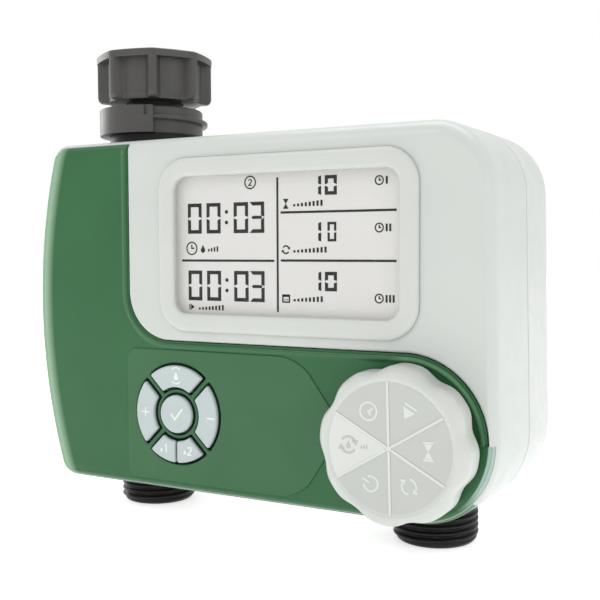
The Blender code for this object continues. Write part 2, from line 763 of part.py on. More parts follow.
def knob_spindle():
    spindle = rod(SPINDLE_RADIUS, KNOB_FRONT_Y + 3.9 * MM, -10.6 * MM, (KNOB_X, 0, KNOB_Z), "Y")
    return finish(spindle, "knob_spindle", MOULDED)


def rotary_switch():
    half = 8 * MM
    body = box((KNOB_X - half, KNOB_X + half), (-15.7 * MM, -9.8 * MM), (KNOB_Z - half, KNOB_Z + half))
    bore = rod(SPINDLE_RADIUS + GAP, -20 * MM, -10.3 * MM, (KNOB_X, 0, KNOB_Z), "Y")
    return cut(finish(body, "rotary_switch", MOULDED), bore)


def main_board():
    outline = round_rect(BOARD_X, BOARD_Z, 2 * MM, 0, 2)
    board = slab([outline, circle(KNOB_X, KNOB_Z, 3.4 * MM, 20)], BOARD_FRONT_Y, BOARD_BACK_Y)
    board = finish(board, "main_board", BOARD_GREEN)
    chips = (((-20, -6), (84, 98)), ((8, 20), (88, 96)), ((-38, -30), (56, 64)), ((28, 36), (52, 60)))
    for (left, right), (low, high) in chips:
        depth = (BOARD_BACK_Y - MM, BOARD_BACK_Y + 1.6 * MM)
        chip = box((left * MM, right * MM), depth, (low * MM, high * MM))
        join(board, chip)
    return board


# ---------------------------------------------------------------- inlet


def nut_outline(rib_radius, panel_radius):
    """Eight corner ribs with hollow panels between them."""
    points = []
    for corner in range(NUT_SIDES):
        middle = NUT_CORNER_ANGLE + 2 * math.pi * corner / NUT_SIDES
        for turn, radius in ((-3.6, rib_radius - 0.3 * MM), (0, rib_radius), (3.6, rib_radius - 0.3 * MM)):
            angle = middle + math.radians(turn)
            points.append((radius * math.cos(angle), radius * math.sin(angle)))
        for turn in (9.5, 22.5, 35.5):
            angle = middle + math.radians(turn)
            points.append((panel_radius * math.cos(angle), panel_radius * math.sin(angle)))
    return points


def octagon(radius):
    points = []
    for corner in range(NUT_SIDES):
        angle = NUT_CORNER_ANGLE + 2 * math.pi * corner / NUT_SIDES
        points.append((radius * math.cos(angle), radius * math.sin(angle)))
    return points


def inlet_nut():
    centre = (INLET_X, PIPE_Y)
    rim = lying_slab([octagon(NUT_RADIUS)], NUT_TOP - NUT_RIM, NUT_TOP, centre)
    nut = finish(origin_to(rim, (*centre, NUT_BOTTOM)), "inlet_nut", CHARCOAL)
    panel = 16.8 * MM
    ribs = nut_outline(NUT_RADIUS - 0.2 * MM, panel)
    join(nut, lying_slab([ribs], NUT_BOTTOM + 1.2 * MM, NUT_TOP - NUT_RIM / 2, centre))
    foot = nut_outline(NUT_RADIUS - 1.4 * MM, panel - 0.2 * MM)
    join(nut, lying_slab([foot], NUT_BOTTOM, NUT_BOTTOM + 2 * MM, centre))
    socket = rod(NUT_BORE, NUT_BOTTOM + 4.4 * MM, NUT_TOP + 5 * MM, (*centre, 0), steps=40)
    neck = rod(SPIGOT_RADIUS + 0.5 * MM, 100 * MM, 170 * MM, (*centre, 0), steps=32)
    return cut(nut, socket, neck)


def inlet_washer():
    profile = ((12.4, 151.1), (12.4, 149.3), (8.2, 149.3), (8.2, 151.1))
    return finish(turned(scaled(profile), (INLET_X, PIPE_Y, 0)), "inlet_washer", RUBBER)


def filter_screen():
    profile = (
        (0, 136), (6.2, 136), (6.9, 137), (6.9, 151.4), (12.2, 151.4), (12.2, 152.2),
        (6.2, 152.2), (6.2, 137.4), (0, 137.4),
    )
    screen = turned(scaled(profile)[::-1], (INLET_X, PIPE_Y, 0), ring=False)
    return finish(screen, "filter_screen", STEEL)


def inlet_collar():
    profile = (
        (16.7, 139.6), (16.7, 129.3), (16, 129.3), (16, 123.4), (18.6, 123.4), (18.6, 121.4),
        (10, 121.4), (10, 139.6),
    )
    collar = finish(turned(scaled(profile), (INLET_X, PIPE_Y, 0), steps=36), "inlet_collar", CHARCOAL)
    step_angle = NUT_CORNER_ANGLE
    thick = sector(19.4 * MM, step_angle - math.radians(150), step_angle)
    join(collar, lying_slab([thick], COLLAR_BOTTOM, COLLAR_TOP, (INLET_X, PIPE_Y)))
    rib = sector(18.6 * MM, step_angle - math.radians(8), step_angle + math.radians(150))
    return join(collar, lying_slab([rib], 134.4 * MM, 136 * MM, (INLET_X, PIPE_Y)))


def sector(radius, start, end):
    """A ring sector from just inside the collar's wall out to radius."""
    inner = 15 * MM
    return arc(0, 0, radius, start, end, 18) + arc(0, 0, inner, end, start, 12)


def inlet_spigot():
    profile = (
        (12.3, 149), (12.3, 147.2), (9.6, 147.2), (9.6, 106), (8.4, 106), (8.4, 116),
        (7.2, 116), (7.2, 149),
    )
    return finish(turned(scaled(profile), (INLET_X, PIPE_Y, 0)), "inlet_spigot", BLACK)


def pipe_seal():
    profile = ((8.1, 115.7), (8.1, 114), (6, 114), (6, 115.7))
    return finish(turned(scaled(profile), (INLET_X, PIPE_Y, 0)), "pipe_seal", RUBBER)


def elbow_path(overrun):
    """The inlet pipe's centre line: down, across to the middle, and down to the valves."""
    bend = 12 * MM
    points = [(INLET_X, 113.7 * MM + overrun)]
    points += arc(INLET_X + bend, HEADER_Z + bend, bend, math.pi, 1.5 * math.pi, 6)
    points += arc(DROP_X - bend, HEADER_Z - bend, bend, math.pi / 2, 0, 6)
    points += [(DROP_X, 36.3 * MM - overrun)]
    return [(x, PIPE_Y, z) for x, z in points]


def inlet_pipe():
    pipe = finish(tube(elbow_path(0), PIPE_RADIUS, 4), "inlet_pipe", MOULDED)
    return cut(pipe, tube(elbow_path(5 * MM), PIPE_BORE, 3))


# ---------------------------------------------------------------- valves


def valve_manifold():
    chamber = (
        (13.5, 34), (13.5, 21.6), (11.4, 21.6), (11.4, 25), (6.5, 25), (6.5, 33.6),
        (8.3, 33.6), (8.3, 27), (11.6, 27), (11.6, 34),
    )
    left, right = OUTLET_XS
    cross = rod(3.9 * MM, left + 12.4 * MM, right - 12.4 * MM, (0, PIPE_Y, CROSS_PIPE_Z), "X")
    manifold = finish(cross, "valve_manifold", MOULDED)
    for x in OUTLET_XS:
        join(manifold, to_mesh(turned(scaled(chamber), (x, PIPE_Y, 0))))
    join(manifold, rod(10.5 * MM, 22 * MM, 42 * MM, (DROP_X, PIPE_Y, 0)))
    socket = rod(PIPE_RADIUS + 0.4 * MM, 36 * MM, 50 * MM, (DROP_X, PIPE_Y, 0))
    drop = rod(PIPE_BORE, 26 * MM, 50 * MM, (DROP_X, PIPE_Y, 0))
    way = rod(2.6 * MM, left + 9.5 * MM, right - 9.5 * MM, (0, PIPE_Y, CROSS_PIPE_Z), "X", 16)
    return cut(manifold, socket, drop, way)


def outlet(number, x):
    turns = 5
    flange, bore, neck, top = 14 * MM, 9.5 * MM, 11 * MM, 24.7 * MM
    profile = [(flange, 19.2 * MM), (flange, 17.6 * MM), (THREAD_ROOT, 17.6 * MM)]
    for turn in range(turns, -1, -1):
        crest = 1.4 * MM + turn * THREAD_PITCH
        profile += [(THREAD_ROOT, crest + 0.8 * MM), (THREAD_RADIUS, crest)]
    profile += [(THREAD_ROOT, 0.4 * MM), (THREAD_ROOT - 0.5 * MM, 0), (bore, 0), (bore, top)]
    profile += [(neck, top), (neck, 19.2 * MM)]
    return finish(turned(profile, (x, PIPE_Y, 0), steps=28), f"outlet_{number}", BLACK)


def outlet_seal(number, x):
    profile = ((13, 21.3), (13, 19.5), (11.3, 19.5), (11.3, 21.3))
    return finish(turned(scaled(profile), (x, PIPE_Y, 0)), f"outlet_seal_{number}", RUBBER)


def diaphragm(number, x):
    profile = ((0, 35.5), (13.2, 35.5), (13.2, 34.3), (9.4, 34.3), (8.6, 34), (0, 34))
    made = turned(scaled(profile), (x, PIPE_Y, 0), ring=False)
    return finish(made, f"diaphragm_{number}", RUBBER)


def bonnet(number, x):
    profile = (
        (0, 64), (4.6, 64), (4.6, 41), (13.5, 40), (13.5, 35.8), (8, 35.8), (8, 38),
        (3.6, 38), (3.6, 62), (0, 62),
    )
    return finish(turned(scaled(profile), (x, PIPE_Y, 0), ring=False), f"bonnet_{number}", MOULDED)


def solenoid_coil(number, x):
    profile = (
        (8.8, 60.8), (8.8, 59.8), (8.2, 59.8), (8.2, 44.2), (8.8, 44.2), (8.8, 43.2),
        (4.9, 43.2), (4.9, 60.8),
    )
    return finish(turned(scaled(profile), (x, PIPE_Y, 0)), f"solenoid_coil_{number}", COPPER)


def solenoid_frame(number, x):
    outer = round_rect((x - 10.9 * MM, x + 10.9 * MM), (41.4 * MM, 62.9 * MM), MM, 0, 1)
    inner = round_rect((x - 9.6 * MM, x + 9.6 * MM), (42.7 * MM, 61.4 * MM), MM, 0, 1)
    depth = 6 * MM
    frame = finish(slab([outer, inner], PIPE_Y - depth, PIPE_Y + depth), f"solenoid_frame_{number}", STEEL)
    return cut(frame, rod(4.9 * MM, 30 * MM, 70 * MM, (x, PIPE_Y, 0)))


def plunger(number, x):
    profile = ((0, 52), (2.6, 52), (3.2, 51.4), (3.2, 38.4), (1.6, 37), (1.6, 36.2), (0, 36.2))
    return finish(turned(scaled(profile), (x, PIPE_Y, 0), steps=20, ring=False), f"plunger_{number}", STEEL)


def plunger_spring(number, x):
    spring = coil((x, PIPE_Y, 0), 2.6 * MM, 0.35 * MM, 52.3 * MM, 61.7 * MM, 5)
    return finish(spring, f"plunger_spring_{number}", STEEL)


def coil_lead(number, x):
    """The coil's two-core lead, clipped to the back of the board."""
    route = (
        (0, -5.2, 55), (0, -8, 55.2), (1.5, -10.5, 56),
        (5, -12.6, 57.5), (9, -13.6, 59), (12, -14.9, 60),
    )
    points = [(x + dx * MM, y * MM, z * MM) for dx, y, z in route]
    return finish(tube(points, 0.9 * MM, 1), f"coil_lead_{number}", BLACK)


# ---------------------------------------------------------------- battery compartment


def door_seal_outlines(grow):
    middle = 1.9 * MM
    width = 0.6 * MM
    return [
        round_rect(DOOR_X, DOOR_Z, 2 * MM, -middle + width + grow, 2),
        round_rect(DOOR_X, DOOR_Z, 2 * MM, -middle - width - grow, 2),
    ]


def battery_tray():
    x_out, z_out, y_out = TRAY_X, TRAY_Z, TRAY_Y
    tray = finish(box(x_out, y_out, z_out), "battery_tray", BLACK)
    inner = [(low + TRAY_WALL, high - TRAY_WALL) for low, high in (x_out, z_out)]
    cut(tray, box(inner[0], (y_out[0] + TRAY_WALL, FAR_BACK), inner[1]))
    middle = sum(CELL_ZS) / 2
    rib = box((20 * MM, 54 * MM), (y_out[0] + MM, 18 * MM), (middle - 0.5 * MM, middle + 0.5 * MM))
    return join(tray, rib)


def battery(number, z):
    """Cell 1 has its button end at +X and cell 2 at -X."""
    side = 1 if number == 1 else -1
    start = 0.5 * (TRAY_X[0] + TRAY_X[1] - CELL_LENGTH) + side * 1.6 * MM
    centre = start + CELL_LENGTH / 2
    half = CELL_LENGTH / 2
    profile = [(0, half), (2.6 * MM, half), (2.6 * MM, half - MM), (6.6 * MM, half - MM)]
    profile += [(CELL_RADIUS, half - 1.6 * MM), (CELL_RADIUS, 0.5 * MM - half)]
    profile += [(6.7 * MM, -half), (0, -half)]
    cell = turned(profile, (centre, CELL_Y, z), "X", 20, ring=False)
    if side < 0:
        cell.matrix_world = cell.matrix_world @ Matrix.Rotation(math.pi, 4, "X")
    return finish(cell, f"battery_{number}", CELL)


def contact_spring(number, z):
    side = 1 if number == 1 else -1
    cell_end = 0.5 * (TRAY_X[0] + TRAY_X[1]) + side * (1.6 * MM - CELL_LENGTH / 2)
    wall = TRAY_X[0] + TRAY_WALL if side > 0 else TRAY_X[1] - TRAY_WALL
    reach = abs(wall - cell_end)
    spring = coil((0, 0, 0), 3.4 * MM, 0.35 * MM, 0.9 * MM, reach - 0.4 * MM, 3, taper=1.2 * MM)
    turn = TURN_TO_AXIS["X"] if side > 0 else Matrix.Rotation(-math.pi / 2, 4, "Y")
    spring.matrix_world = Matrix.Translation((wall, CELL_Y, z)) @ turn
    return finish(spring, f"contact_spring_{number}", STEEL)


def contact_plate(name, x):
    """A plated strip at one end of the cells."""
    low, high = CELL_ZS[0] - 5 * MM, CELL_ZS[1] + 5 * MM
    plate = box((x - 0.2 * MM, x + 0.2 * MM), (CELL_Y - 4 * MM, CELL_Y + 4 * MM), (low, high))
    return finish(plate, name, STEEL)


def battery_door():
    outer_y = CASE_BACK
    inner_y = CASE_BACK - DOOR_THICKNESS
    barrel = DOOR_THICKNESS / 2
    pivot_z = DOOR_Z[0] + barrel
    outline = round_rect(DOOR_X, (pivot_z, DOOR_Z[1]), 2 * MM, 0, 3)
    panel = slab([outline], inner_y, outer_y)
    origin_to(panel, (sum(DOOR_X) / 2, outer_y - barrel, pivot_z))
    door = finish(panel, "battery_door", WHITE)
    edge = box((DOOR_X[0], DOOR_X[1]), (inner_y, outer_y), (pivot_z, pivot_z + 3 * MM))
    pivots = (DOOR_X[0] - 2 * MM, DOOR_X[1] + 2 * MM)
    pin = rod(barrel, *pivots, (0, outer_y - barrel, pivot_z), "X", 16)
    latch_z = TRAY_Z[1] - TRAY_WALL - 0.5 * MM
    latch = box((32 * MM, 42 * MM), (31 * MM, inner_y + 0.5 * MM), (latch_z - 1.2 * MM, latch_z))
    return join(door, edge, pin, latch)


def door_seal():
    floor = CASE_BACK - DOOR_THICKNESS - GAP
    return finish(slab(door_seal_outlines(0), floor - 0.6 * MM, floor + 0.05 * MM), "door_seal", RUBBER)


# ---------------------------------------------------------------- assembly


def build_case():
    front_cover()
    display_housing()
    rear_shell()
    for number, (x, z) in enumerate(SCREWS, 1):
        case_screw(number, x, z)


def build_controls():
    lcd_bezel()
    lcd_window()
    lcd_panel()
    lcd_backlight()
    keypad_plate()
    keypad_mat()
    for name in KEYS:
        button(name)
    selector_knob()
    knob_spindle()
    finish(ring(4 * MM, 0.8 * MM, (KNOB_X, -19.6 * MM, KNOB_Z), "Y"), "knob_seal", RUBBER)
    rotary_switch()
    main_board()


def build_water_path():
    inlet_nut()
    inlet_washer()
    filter_screen()
    inlet_collar()
    inlet_spigot()
    pipe_seal()
    inlet_pipe()
    valve_manifold()
    for number, x in enumerate(OUTLET_XS, 1):
        outlet(number, x)
        outlet_seal(number, x)
        diaphragm(number, x)
        bonnet(number, x)
        solenoid_coil(number, x)
        solenoid_frame(number, x)
        plunger(number, x)
        plunger_spring(number, x)
        coil_lead(number, x)


def build_battery_compartment():
    battery_tray()
    for number, z in enumerate(CELL_ZS, 1):
        battery(number, z)
        contact_spring(number, z)
    contact_plate("contact_plate_left", TRAY_X[0] + TRAY_WALL + 0.5 * MM)
    contact_plate("contact_plate_right", TRAY_X[1] - TRAY_WALL - 0.5 * MM)
    battery_door()
    door_seal()


build_case()
build_controls()
build_water_path()
build_battery_compartment()
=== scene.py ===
"""Looks of the drip irrigation timer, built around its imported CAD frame.

Metres, +Z up, display towards -Y. Places come from the CAD nodes' boxes. Each visible piece is
built here with its fine shape and a procedural material, and rides on its CAD body.
"""

import math

import bmesh
import bpy
from mathutils import Matrix, Vector


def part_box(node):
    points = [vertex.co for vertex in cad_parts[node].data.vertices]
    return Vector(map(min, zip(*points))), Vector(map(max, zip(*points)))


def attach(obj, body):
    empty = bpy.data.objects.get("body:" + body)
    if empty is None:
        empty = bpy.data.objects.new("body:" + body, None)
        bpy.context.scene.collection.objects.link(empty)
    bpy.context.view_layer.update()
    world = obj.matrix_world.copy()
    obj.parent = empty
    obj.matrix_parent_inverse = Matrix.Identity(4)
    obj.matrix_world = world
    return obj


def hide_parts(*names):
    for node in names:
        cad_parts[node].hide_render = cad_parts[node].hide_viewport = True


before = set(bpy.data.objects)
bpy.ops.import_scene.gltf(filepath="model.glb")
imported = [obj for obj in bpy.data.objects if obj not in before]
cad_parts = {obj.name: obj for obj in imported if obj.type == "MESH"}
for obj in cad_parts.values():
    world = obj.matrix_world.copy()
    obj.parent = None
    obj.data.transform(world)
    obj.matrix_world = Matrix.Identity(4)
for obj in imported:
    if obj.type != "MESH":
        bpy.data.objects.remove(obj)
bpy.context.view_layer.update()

MM = 0.001
GAP = 0.3 * MM
TINY = 0.05 * MM
FAR = 90 * MM
QUARTER = math.pi / 2


def span(node, axis):
    low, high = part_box(node)
    return low[axis], high[axis]


def middle(node):
    low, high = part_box(node)
    return (low + high) / 2


# Case, from the boxes of its shells.
CASE_LEFT = span("rear_shell", 0)[0]
# The right side leans, so its widest point stands a little outside its place at RIGHT_Z.
RIGHT_BULGE = 0.08 * MM
CASE_RIGHT = span("rear_shell", 0)[1] - RIGHT_BULGE
RIGHT_Z = 40 * MM
RIGHT_LEAN = math.radians(1.3)
CASE_BOTTOM, CASE_TOP = span("rear_shell", 2)
CASE_BACK = span("rear_shell", 1)[1]
CASE_FRONT = span("front_cover", 1)[0]
COVER_BACK = span("front_cover", 1)[1]
SKIRT_Y = COVER_BACK - 0.7 * MM
PARTING = middle("inlet_spigot").y
TOP_RIGHT_RADIUS = 20 * MM
BOTTOM_RIGHT_RADIUS = 25.3 * MM
LEFT_RADIUS = 6.5 * MM
BOW_RADIUS = 190 * MM
BOW_X = CASE_LEFT + BOW_RADIUS
BOW_Z = 72 * MM
# Depths in from the left edge over which a painted reflection makes the green paler.
PAINTED_RIM_REFLECTION = (7.6 * MM, 4.6 * MM)
FRONT_ROUND = 5.5 * MM
RIGHT_ROUND_SHARE = 0.4
FRONT_DRAFT = 2 * MM
BACK_ROUND = 9 * MM
WALL = 2.2 * MM
SEAM_ROUND = 0.35 * MM

# Planes of the space behind the display and the controls, and how far in from the outline it starts.
CAVITY_FRONT = -18.6 * MM
CAVITY_STEP = -16.6 * MM
CAVITY_WIDE = -14 * MM
CAVITY_BACK = 10 * MM
CUT_THROUGH = -15 * MM
SHELF = 4.5 * MM

# Green cover.
COLUMN_X = -42.7 * MM
BAND_Z = 60.7 * MM
COVER_CORNER = 16 * MM
COVER_DEPTH = 0.6 * MM
COVER_STEP = 3.9 * MM
LIP_WIDTH = 2.0 * MM
LIP_ROUND = 0.8 * MM
HOUSING_EDGE = 0.9 * MM

# Controls, centred on the parts that carry them.
LENS_MARGIN = 1.5 * MM
WINDOW_X = tuple(Vector(span("lcd_window", 0)) + Vector((LENS_MARGIN, -LENS_MARGIN)))
WINDOW_Z = tuple(Vector(span("lcd_window", 2)) + Vector((LENS_MARGIN, -LENS_MARGIN)))
WINDOW_RADIUS = 4.5 * MM
BEZEL_MARGIN = WINDOW_X[0] - span("lcd_bezel", 0)[0]
BEZEL_FRONT = span("lcd_bezel", 1)[0]
PANEL_FRONT = span("lcd_panel", 1)[0]
KEYPAD = middle("keypad_mat")
KEY_OUTER = 15.9 * MM
KEY_INNER = 8.8 * MM
OK_RADIUS = 6.2 * MM
KEY_GAP = 2.9 * MM
KEY_CORNER = 0.7 * MM
KEY_HOLE = KEY_OUTER + 1.1 * MM
KEY_SOFT = 0.7 * MM
KEY_SKIRT_DEPTH = 1.2 * MM
FLANGE_FRONT = -21.6 * MM
FLANGE_GAP = 0.3 * MM
KEY_FRONT, KEY_BACK = span("button_ok", 1)
PLATE_FRONT, PLATE_BACK = span("keypad_plate", 1)
KNOB = middle("knob_spindle")
KNOB_FRONT, KNOB_BACK = span("selector_knob", 1)
KNOB_FACE = KNOB_FRONT + 0.3 * MM
KNOB_STEPS = 288
KNOB_RADIUS = 22.8 * MM
KNOB_NOTCH = 1.4 * MM
KNOB_LOBES = 8
KNOB_NOTCH_ANGLE = math.radians(14)
KNOB_FACE_RADIUS = 19.2 * MM
FACE_TURN = math.radians(1.5)
CIRCLE_Z = 36.3 * MM
COVER_CIRCLE = BAND_Z - CIRCLE_Z

# Water fittings.
INLET = middle("inlet_spigot")
NUT_BOTTOM, NUT_TOP = span("inlet_nut", 2)
NUT_RADIUS = 20.5 * MM
NUT_CORNER_ANGLE = math.radians(-55)
NUT_SIDES = 8
NUT_RIM = 2.5 * MM
NUT_BORE = 13 * MM
NUT_PANEL = 16.6 * MM
NUT_RIM_ROUND = 0.35
COLLAR_TOP = span("inlet_collar", 2)[1]
COLLAR_LOW = 130.2 * MM
COLLAR_CORE = 16.9 * MM
COLLAR_STEP = 19.5 * MM
COLLAR_NECK = 16 * MM
FOOT_RADIUS = 18.6 * MM
FOOT_TOP, FOOT_BOTTOM = 123.4 * MM, 121.4 * MM
THREAD_RADIUS = 13.2 * MM
THREAD_ROOT = 12.2 * MM
THREAD_PITCH = 2 * MM

SCREWS = [middle(f"case_screw_{number}") for number in range(1, 5)]
SCREW_HEAD = 3.1 * MM
SCREW_SHANK = 1.25 * MM
DOOR_THICKNESS = 1.8 * MM
DOOR_X = (span("battery_door", 0)[0] + 2 * MM, span("battery_door", 0)[1] - 2 * MM)
DOOR_Z = span("battery_door", 2)


# ---------------------------------------------------------------- materials


def linear(red, green, blue):
    """A colour from its 0 to 255 screen values."""
    values = []
    for value in (red, green, blue):
        share = value / 255
        values.append(share / 12.92 if share <= 0.04045 else ((share + 0.055) / 1.055) ** 2.4)
    return (*values, 1.0)


class Nodes:
    """Short ways to wire one material."""

    def __init__(self, name):
        self.material = bpy.data.materials.new(name)
        self.material.use_nodes = True
        self.tree = self.material.node_tree
        self.shader = self.tree.nodes["Principled BSDF"]
        self.place = self.add("ShaderNodeTexCoord").outputs["Object"]

    def add(self, kind, **values):
        node = self.tree.nodes.new(kind)
        for name, value in values.items():
            setattr(node, name, value)
        return node

    def link(self, source, target):
        self.tree.links.new(source, target)

    def fixed(self, **values):
        """Sets sockets of the shader; an underscore stands for a space in a socket's name."""
        for name, value in values.items():
            self.shader.inputs[name.replace("_", " ")].default_value = value

    def noise(self, size, detail=3.0, stretch=None):
        """Noise whose features measure about size."""
        noise = self.add("ShaderNodeTexNoise")
        noise.inputs["Scale"].default_value = 1 / size
        noise.inputs["Detail"].default_value = detail
        place = self.place
        if stretch:
            mapping = self.add("ShaderNodeMapping")
            mapping.inputs["Scale"].default_value = stretch
            self.link(place, mapping.inputs["Vector"])
            place = mapping.outputs["Vector"]
        self.link(place, noise.inputs["Vector"])
        return noise.outputs["Fac"]

    def spread(self, value, low, high, start=0.35, end=0.65):
        """Maps a value that runs from start to end onto low to high."""
        made = self.add("ShaderNodeMapRange")
        for name, number in (("From Min", start), ("From Max", end), ("To Min", low), ("To Max", high)):
            made.inputs[name].default_value = number
        self.link(value, made.inputs["Value"])
        return made.outputs["Result"]

    def between(self, value, first, second):
        """A colour between two, by a value."""
        ramp = self.add("ShaderNodeValToRGB")
        ramp.color_ramp.elements[0].position = 0.36
        ramp.color_ramp.elements[1].position = 0.64
        ramp.color_ramp.elements[0].color = first
        ramp.color_ramp.elements[1].color = second
        self.link(value, ramp.inputs["Fac"])
        return ramp.outputs["Color"]

    def axes(self):
        split = self.add("ShaderNodeSeparateXYZ")
        self.link(self.place, split.inputs["Vector"])
        return split.outputs

    def away_from(self, x, z, start, end):
        """0 to 1 as the distance from an upright line through (x, z) along Y goes from start to end."""
        flat = self.add("ShaderNodeVectorMath", operation="MULTIPLY")
        self.link(self.place, flat.inputs[0])
        flat.inputs[1].default_value = (1, 0, 1)
        reach = self.add("ShaderNodeVectorMath", operation="DISTANCE")
        self.link(flat.outputs["Vector"], reach.inputs[0])
        reach.inputs[1].default_value = (x, 0, z)
        return self.spread(reach.outputs["Value"], 0.0, 1.0, start, end)

    def mixed(self, share, first, second):
        """The colour output first, mixed with the fixed colour second by a share."""
        mix = self.add("ShaderNodeMix", data_type="RGBA")
        self.link(share, mix.inputs[0])
        self.link(first, mix.inputs[6])
        mix.inputs[7].default_value = second
        return mix.outputs[2]

    def times(self, first, second):
        product = self.add("ShaderNodeMath", operation="MULTIPLY")
        self.link(first, product.inputs[0])
        self.link(second, product.inputs[1])
        return product.outputs["Value"]

    def bump(self, height, depth):
        bump = self.add("ShaderNodeBump")
        bump.inputs["Strength"].default_value = 1.0
        bump.inputs["Distance"].default_value = depth
        self.link(height, bump.inputs["Height"])
        self.link(bump.outputs["Normal"], self.shader.inputs["Normal"])


def toned(colour, factor):
    return (*(min(channel * factor, 1.0) for channel in colour[:3]), 1.0)


def plastic(
    name, colour, roughness=0.35, variation=0.05, grain=0.35 * MM, depth=0.006 * MM, cloud=22 * MM, **more
):
    """Moulded plastic: slow tone changes from the melt's flow, fine grain and uneven gloss."""
    nodes = Nodes(name)
    inputs = nodes.shader.inputs
    tones = nodes.between(
        nodes.noise(cloud, 4.0), toned(colour, 1 - variation), toned(colour, 1 + variation)
    )
    nodes.link(tones, inputs["Base Color"])
    uneven = nodes.spread(nodes.noise(6 * MM, 5.0), roughness - 0.04, roughness + 0.05)
    nodes.link(uneven, inputs["Roughness"])
    nodes.bump(nodes.noise(grain, 2.0), depth)
    nodes.fixed(**more)
    return nodes.material


def green_plastic(name):
    """Green plastic: glossier on the bead, with a painted reflection that makes the left edge paler, a
    painted highlight on the bead above the selector and a painted reflection on the tab right of it.
    """
    nodes = Nodes(name)
    inputs = nodes.shader.inputs
    green = linear(42, 90, 54)
    tones = nodes.between(nodes.noise(22 * MM, 4.0), toned(green, 0.96), toned(green, 1.04))
    # Painted reflection: a paler green band along the left edge.
    rim = nodes.away_from(BOW_X, BOW_Z, *(BOW_RADIUS - depth for depth in PAINTED_RIM_REFLECTION))
    tones = nodes.mixed(rim, tones, linear(126, 156, 130))
    x, y, z = nodes.axes()

    def from_circle(start, end):
        return nodes.away_from(KNOB.x, CIRCLE_Z, COVER_CIRCLE + start * MM, COVER_CIRCLE + end * MM)

    def rises(value, start, end):
        return nodes.spread(value, 0.0, 1.0, start, end)

    # Painted highlight: a lighter green on the crest of the bead above the selector.
    outer = nodes.spread(from_circle(-1.4, -0.9), 1.0, 0.0, 0.0, 1.0)
    crest = nodes.times(from_circle(-2.7, -1.9), outer)
    crest = nodes.times(crest, rises(x, KNOB.x - 6 * MM, KNOB.x))
    crest = nodes.times(crest, rises(z, KNOB.z + 4 * MM, KNOB.z + 14 * MM))
    tones = nodes.mixed(crest, tones, linear(84, 130, 90))
    # Painted reflection: a pale green on the tab right of the selector.
    tab = nodes.times(from_circle(-0.1, 0.1), rises(x, KNOB.x + 12 * MM, KNOB.x + 13 * MM))
    tab = nodes.times(tab, rises(z, 17 * MM, 23 * MM))
    nodes.link(nodes.mixed(tab, tones, linear(146, 170, 158)), inputs["Base Color"])
    nodes.link(nodes.spread(nodes.noise(6 * MM, 5.0), 0.28, 0.37), inputs["Roughness"])
    gloss = nodes.spread(y, 0.25, 0.0, CASE_FRONT + 0.1 * MM, CASE_FRONT + 0.5 * MM)
    nodes.link(gloss, inputs["Coat Weight"])
    nodes.fixed(Coat_Roughness=0.15, Specular_IOR_Level=0.25)
    nodes.bump(nodes.noise(0.35 * MM, 2.0), 0.003 * MM)
    return nodes.material


def metal(name, colour, roughness, brush=(1, 1, 1)):
    """Plated or drawn metal with fine lines along one way."""
    nodes = Nodes(name)
    inputs = nodes.shader.inputs
    nodes.fixed(Metallic=1.0)
    lines = nodes.noise(0.5 * MM, 4.0, brush)
    nodes.link(nodes.between(lines, toned(colour, 0.86), toned(colour, 1.1)), inputs["Base Color"])
    nodes.link(nodes.spread(lines, roughness - 0.06, roughness + 0.1), inputs["Roughness"])
    nodes.bump(lines, 0.004 * MM)
    return nodes.material


def clear_plastic(name):
    """A thin, faintly smoky window: mostly see-through, with moulding waves in its gloss."""
    nodes = Nodes(name)
    tint = nodes.between(nodes.noise(15 * MM), linear(70, 74, 70), linear(80, 83, 80))
    nodes.link(tint, nodes.shader.inputs["Base Color"])
    nodes.fixed(Roughness=0.06, Alpha=0.035)
    nodes.bump(nodes.noise(12 * MM, 1.0), 0.01 * MM)
    return nodes.material


def winding(name):
    """Copper wire wound in close turns round the bobbin."""
    nodes = Nodes(name)
    wave = nodes.add("ShaderNodeTexWave", wave_type="BANDS", bands_direction="Z")
    wave.inputs["Scale"].default_value = 1 / (2.2 * MM)
    wave.inputs["Distortion"].default_value = 0.4
    nodes.link(nodes.place, wave.inputs["Vector"])
    colour = linear(176, 88, 40)
    # The bands between the turns are darker: painted shade in the grooves between the wires.
    tones = nodes.between(wave.outputs["Fac"], toned(colour, 0.5), colour)
    nodes.link(tones, nodes.shader.inputs["Base Color"])
    nodes.fixed(Metallic=0.7, Roughness=0.35)
    nodes.bump(wave.outputs["Fac"], 0.05 * MM)
    return nodes.material


def board_material(name):
    """Solder mask over tracks that run mostly upright."""
    nodes = Nodes(name)
    tracks = nodes.noise(2.5 * MM, 1.0, (6.0, 1.0, 0.7))
    tones = nodes.between(tracks, linear(14, 66, 34), linear(26, 92, 50))
    nodes.link(tones, nodes.shader.inputs["Base Color"])
    nodes.fixed(Roughness=0.35)
    nodes.bump(tracks, 0.03 * MM)
    return nodes.material


def cell_sleeve(name, centre, half):
    """Printed sleeve of a battery: a dark body with a metal-coloured band near the button end."""
    nodes = Nodes(name)
    along = nodes.spread(nodes.axes()["X"], 0.0, 1.0, centre + half * 0.42, centre + half * 0.46)
    sleeve = nodes.between(nodes.noise(9 * MM), linear(26, 40, 84), linear(32, 48, 96))
    tones = nodes.mixed(along, sleeve, linear(196, 150, 84))
    nodes.link(tones, nodes.shader.inputs["Base Color"])
    nodes.fixed(Roughness=0.28, Metallic=0.4)
    nodes.bump(nodes.noise(1.2 * MM), 0.01 * MM)
    return nodes.material


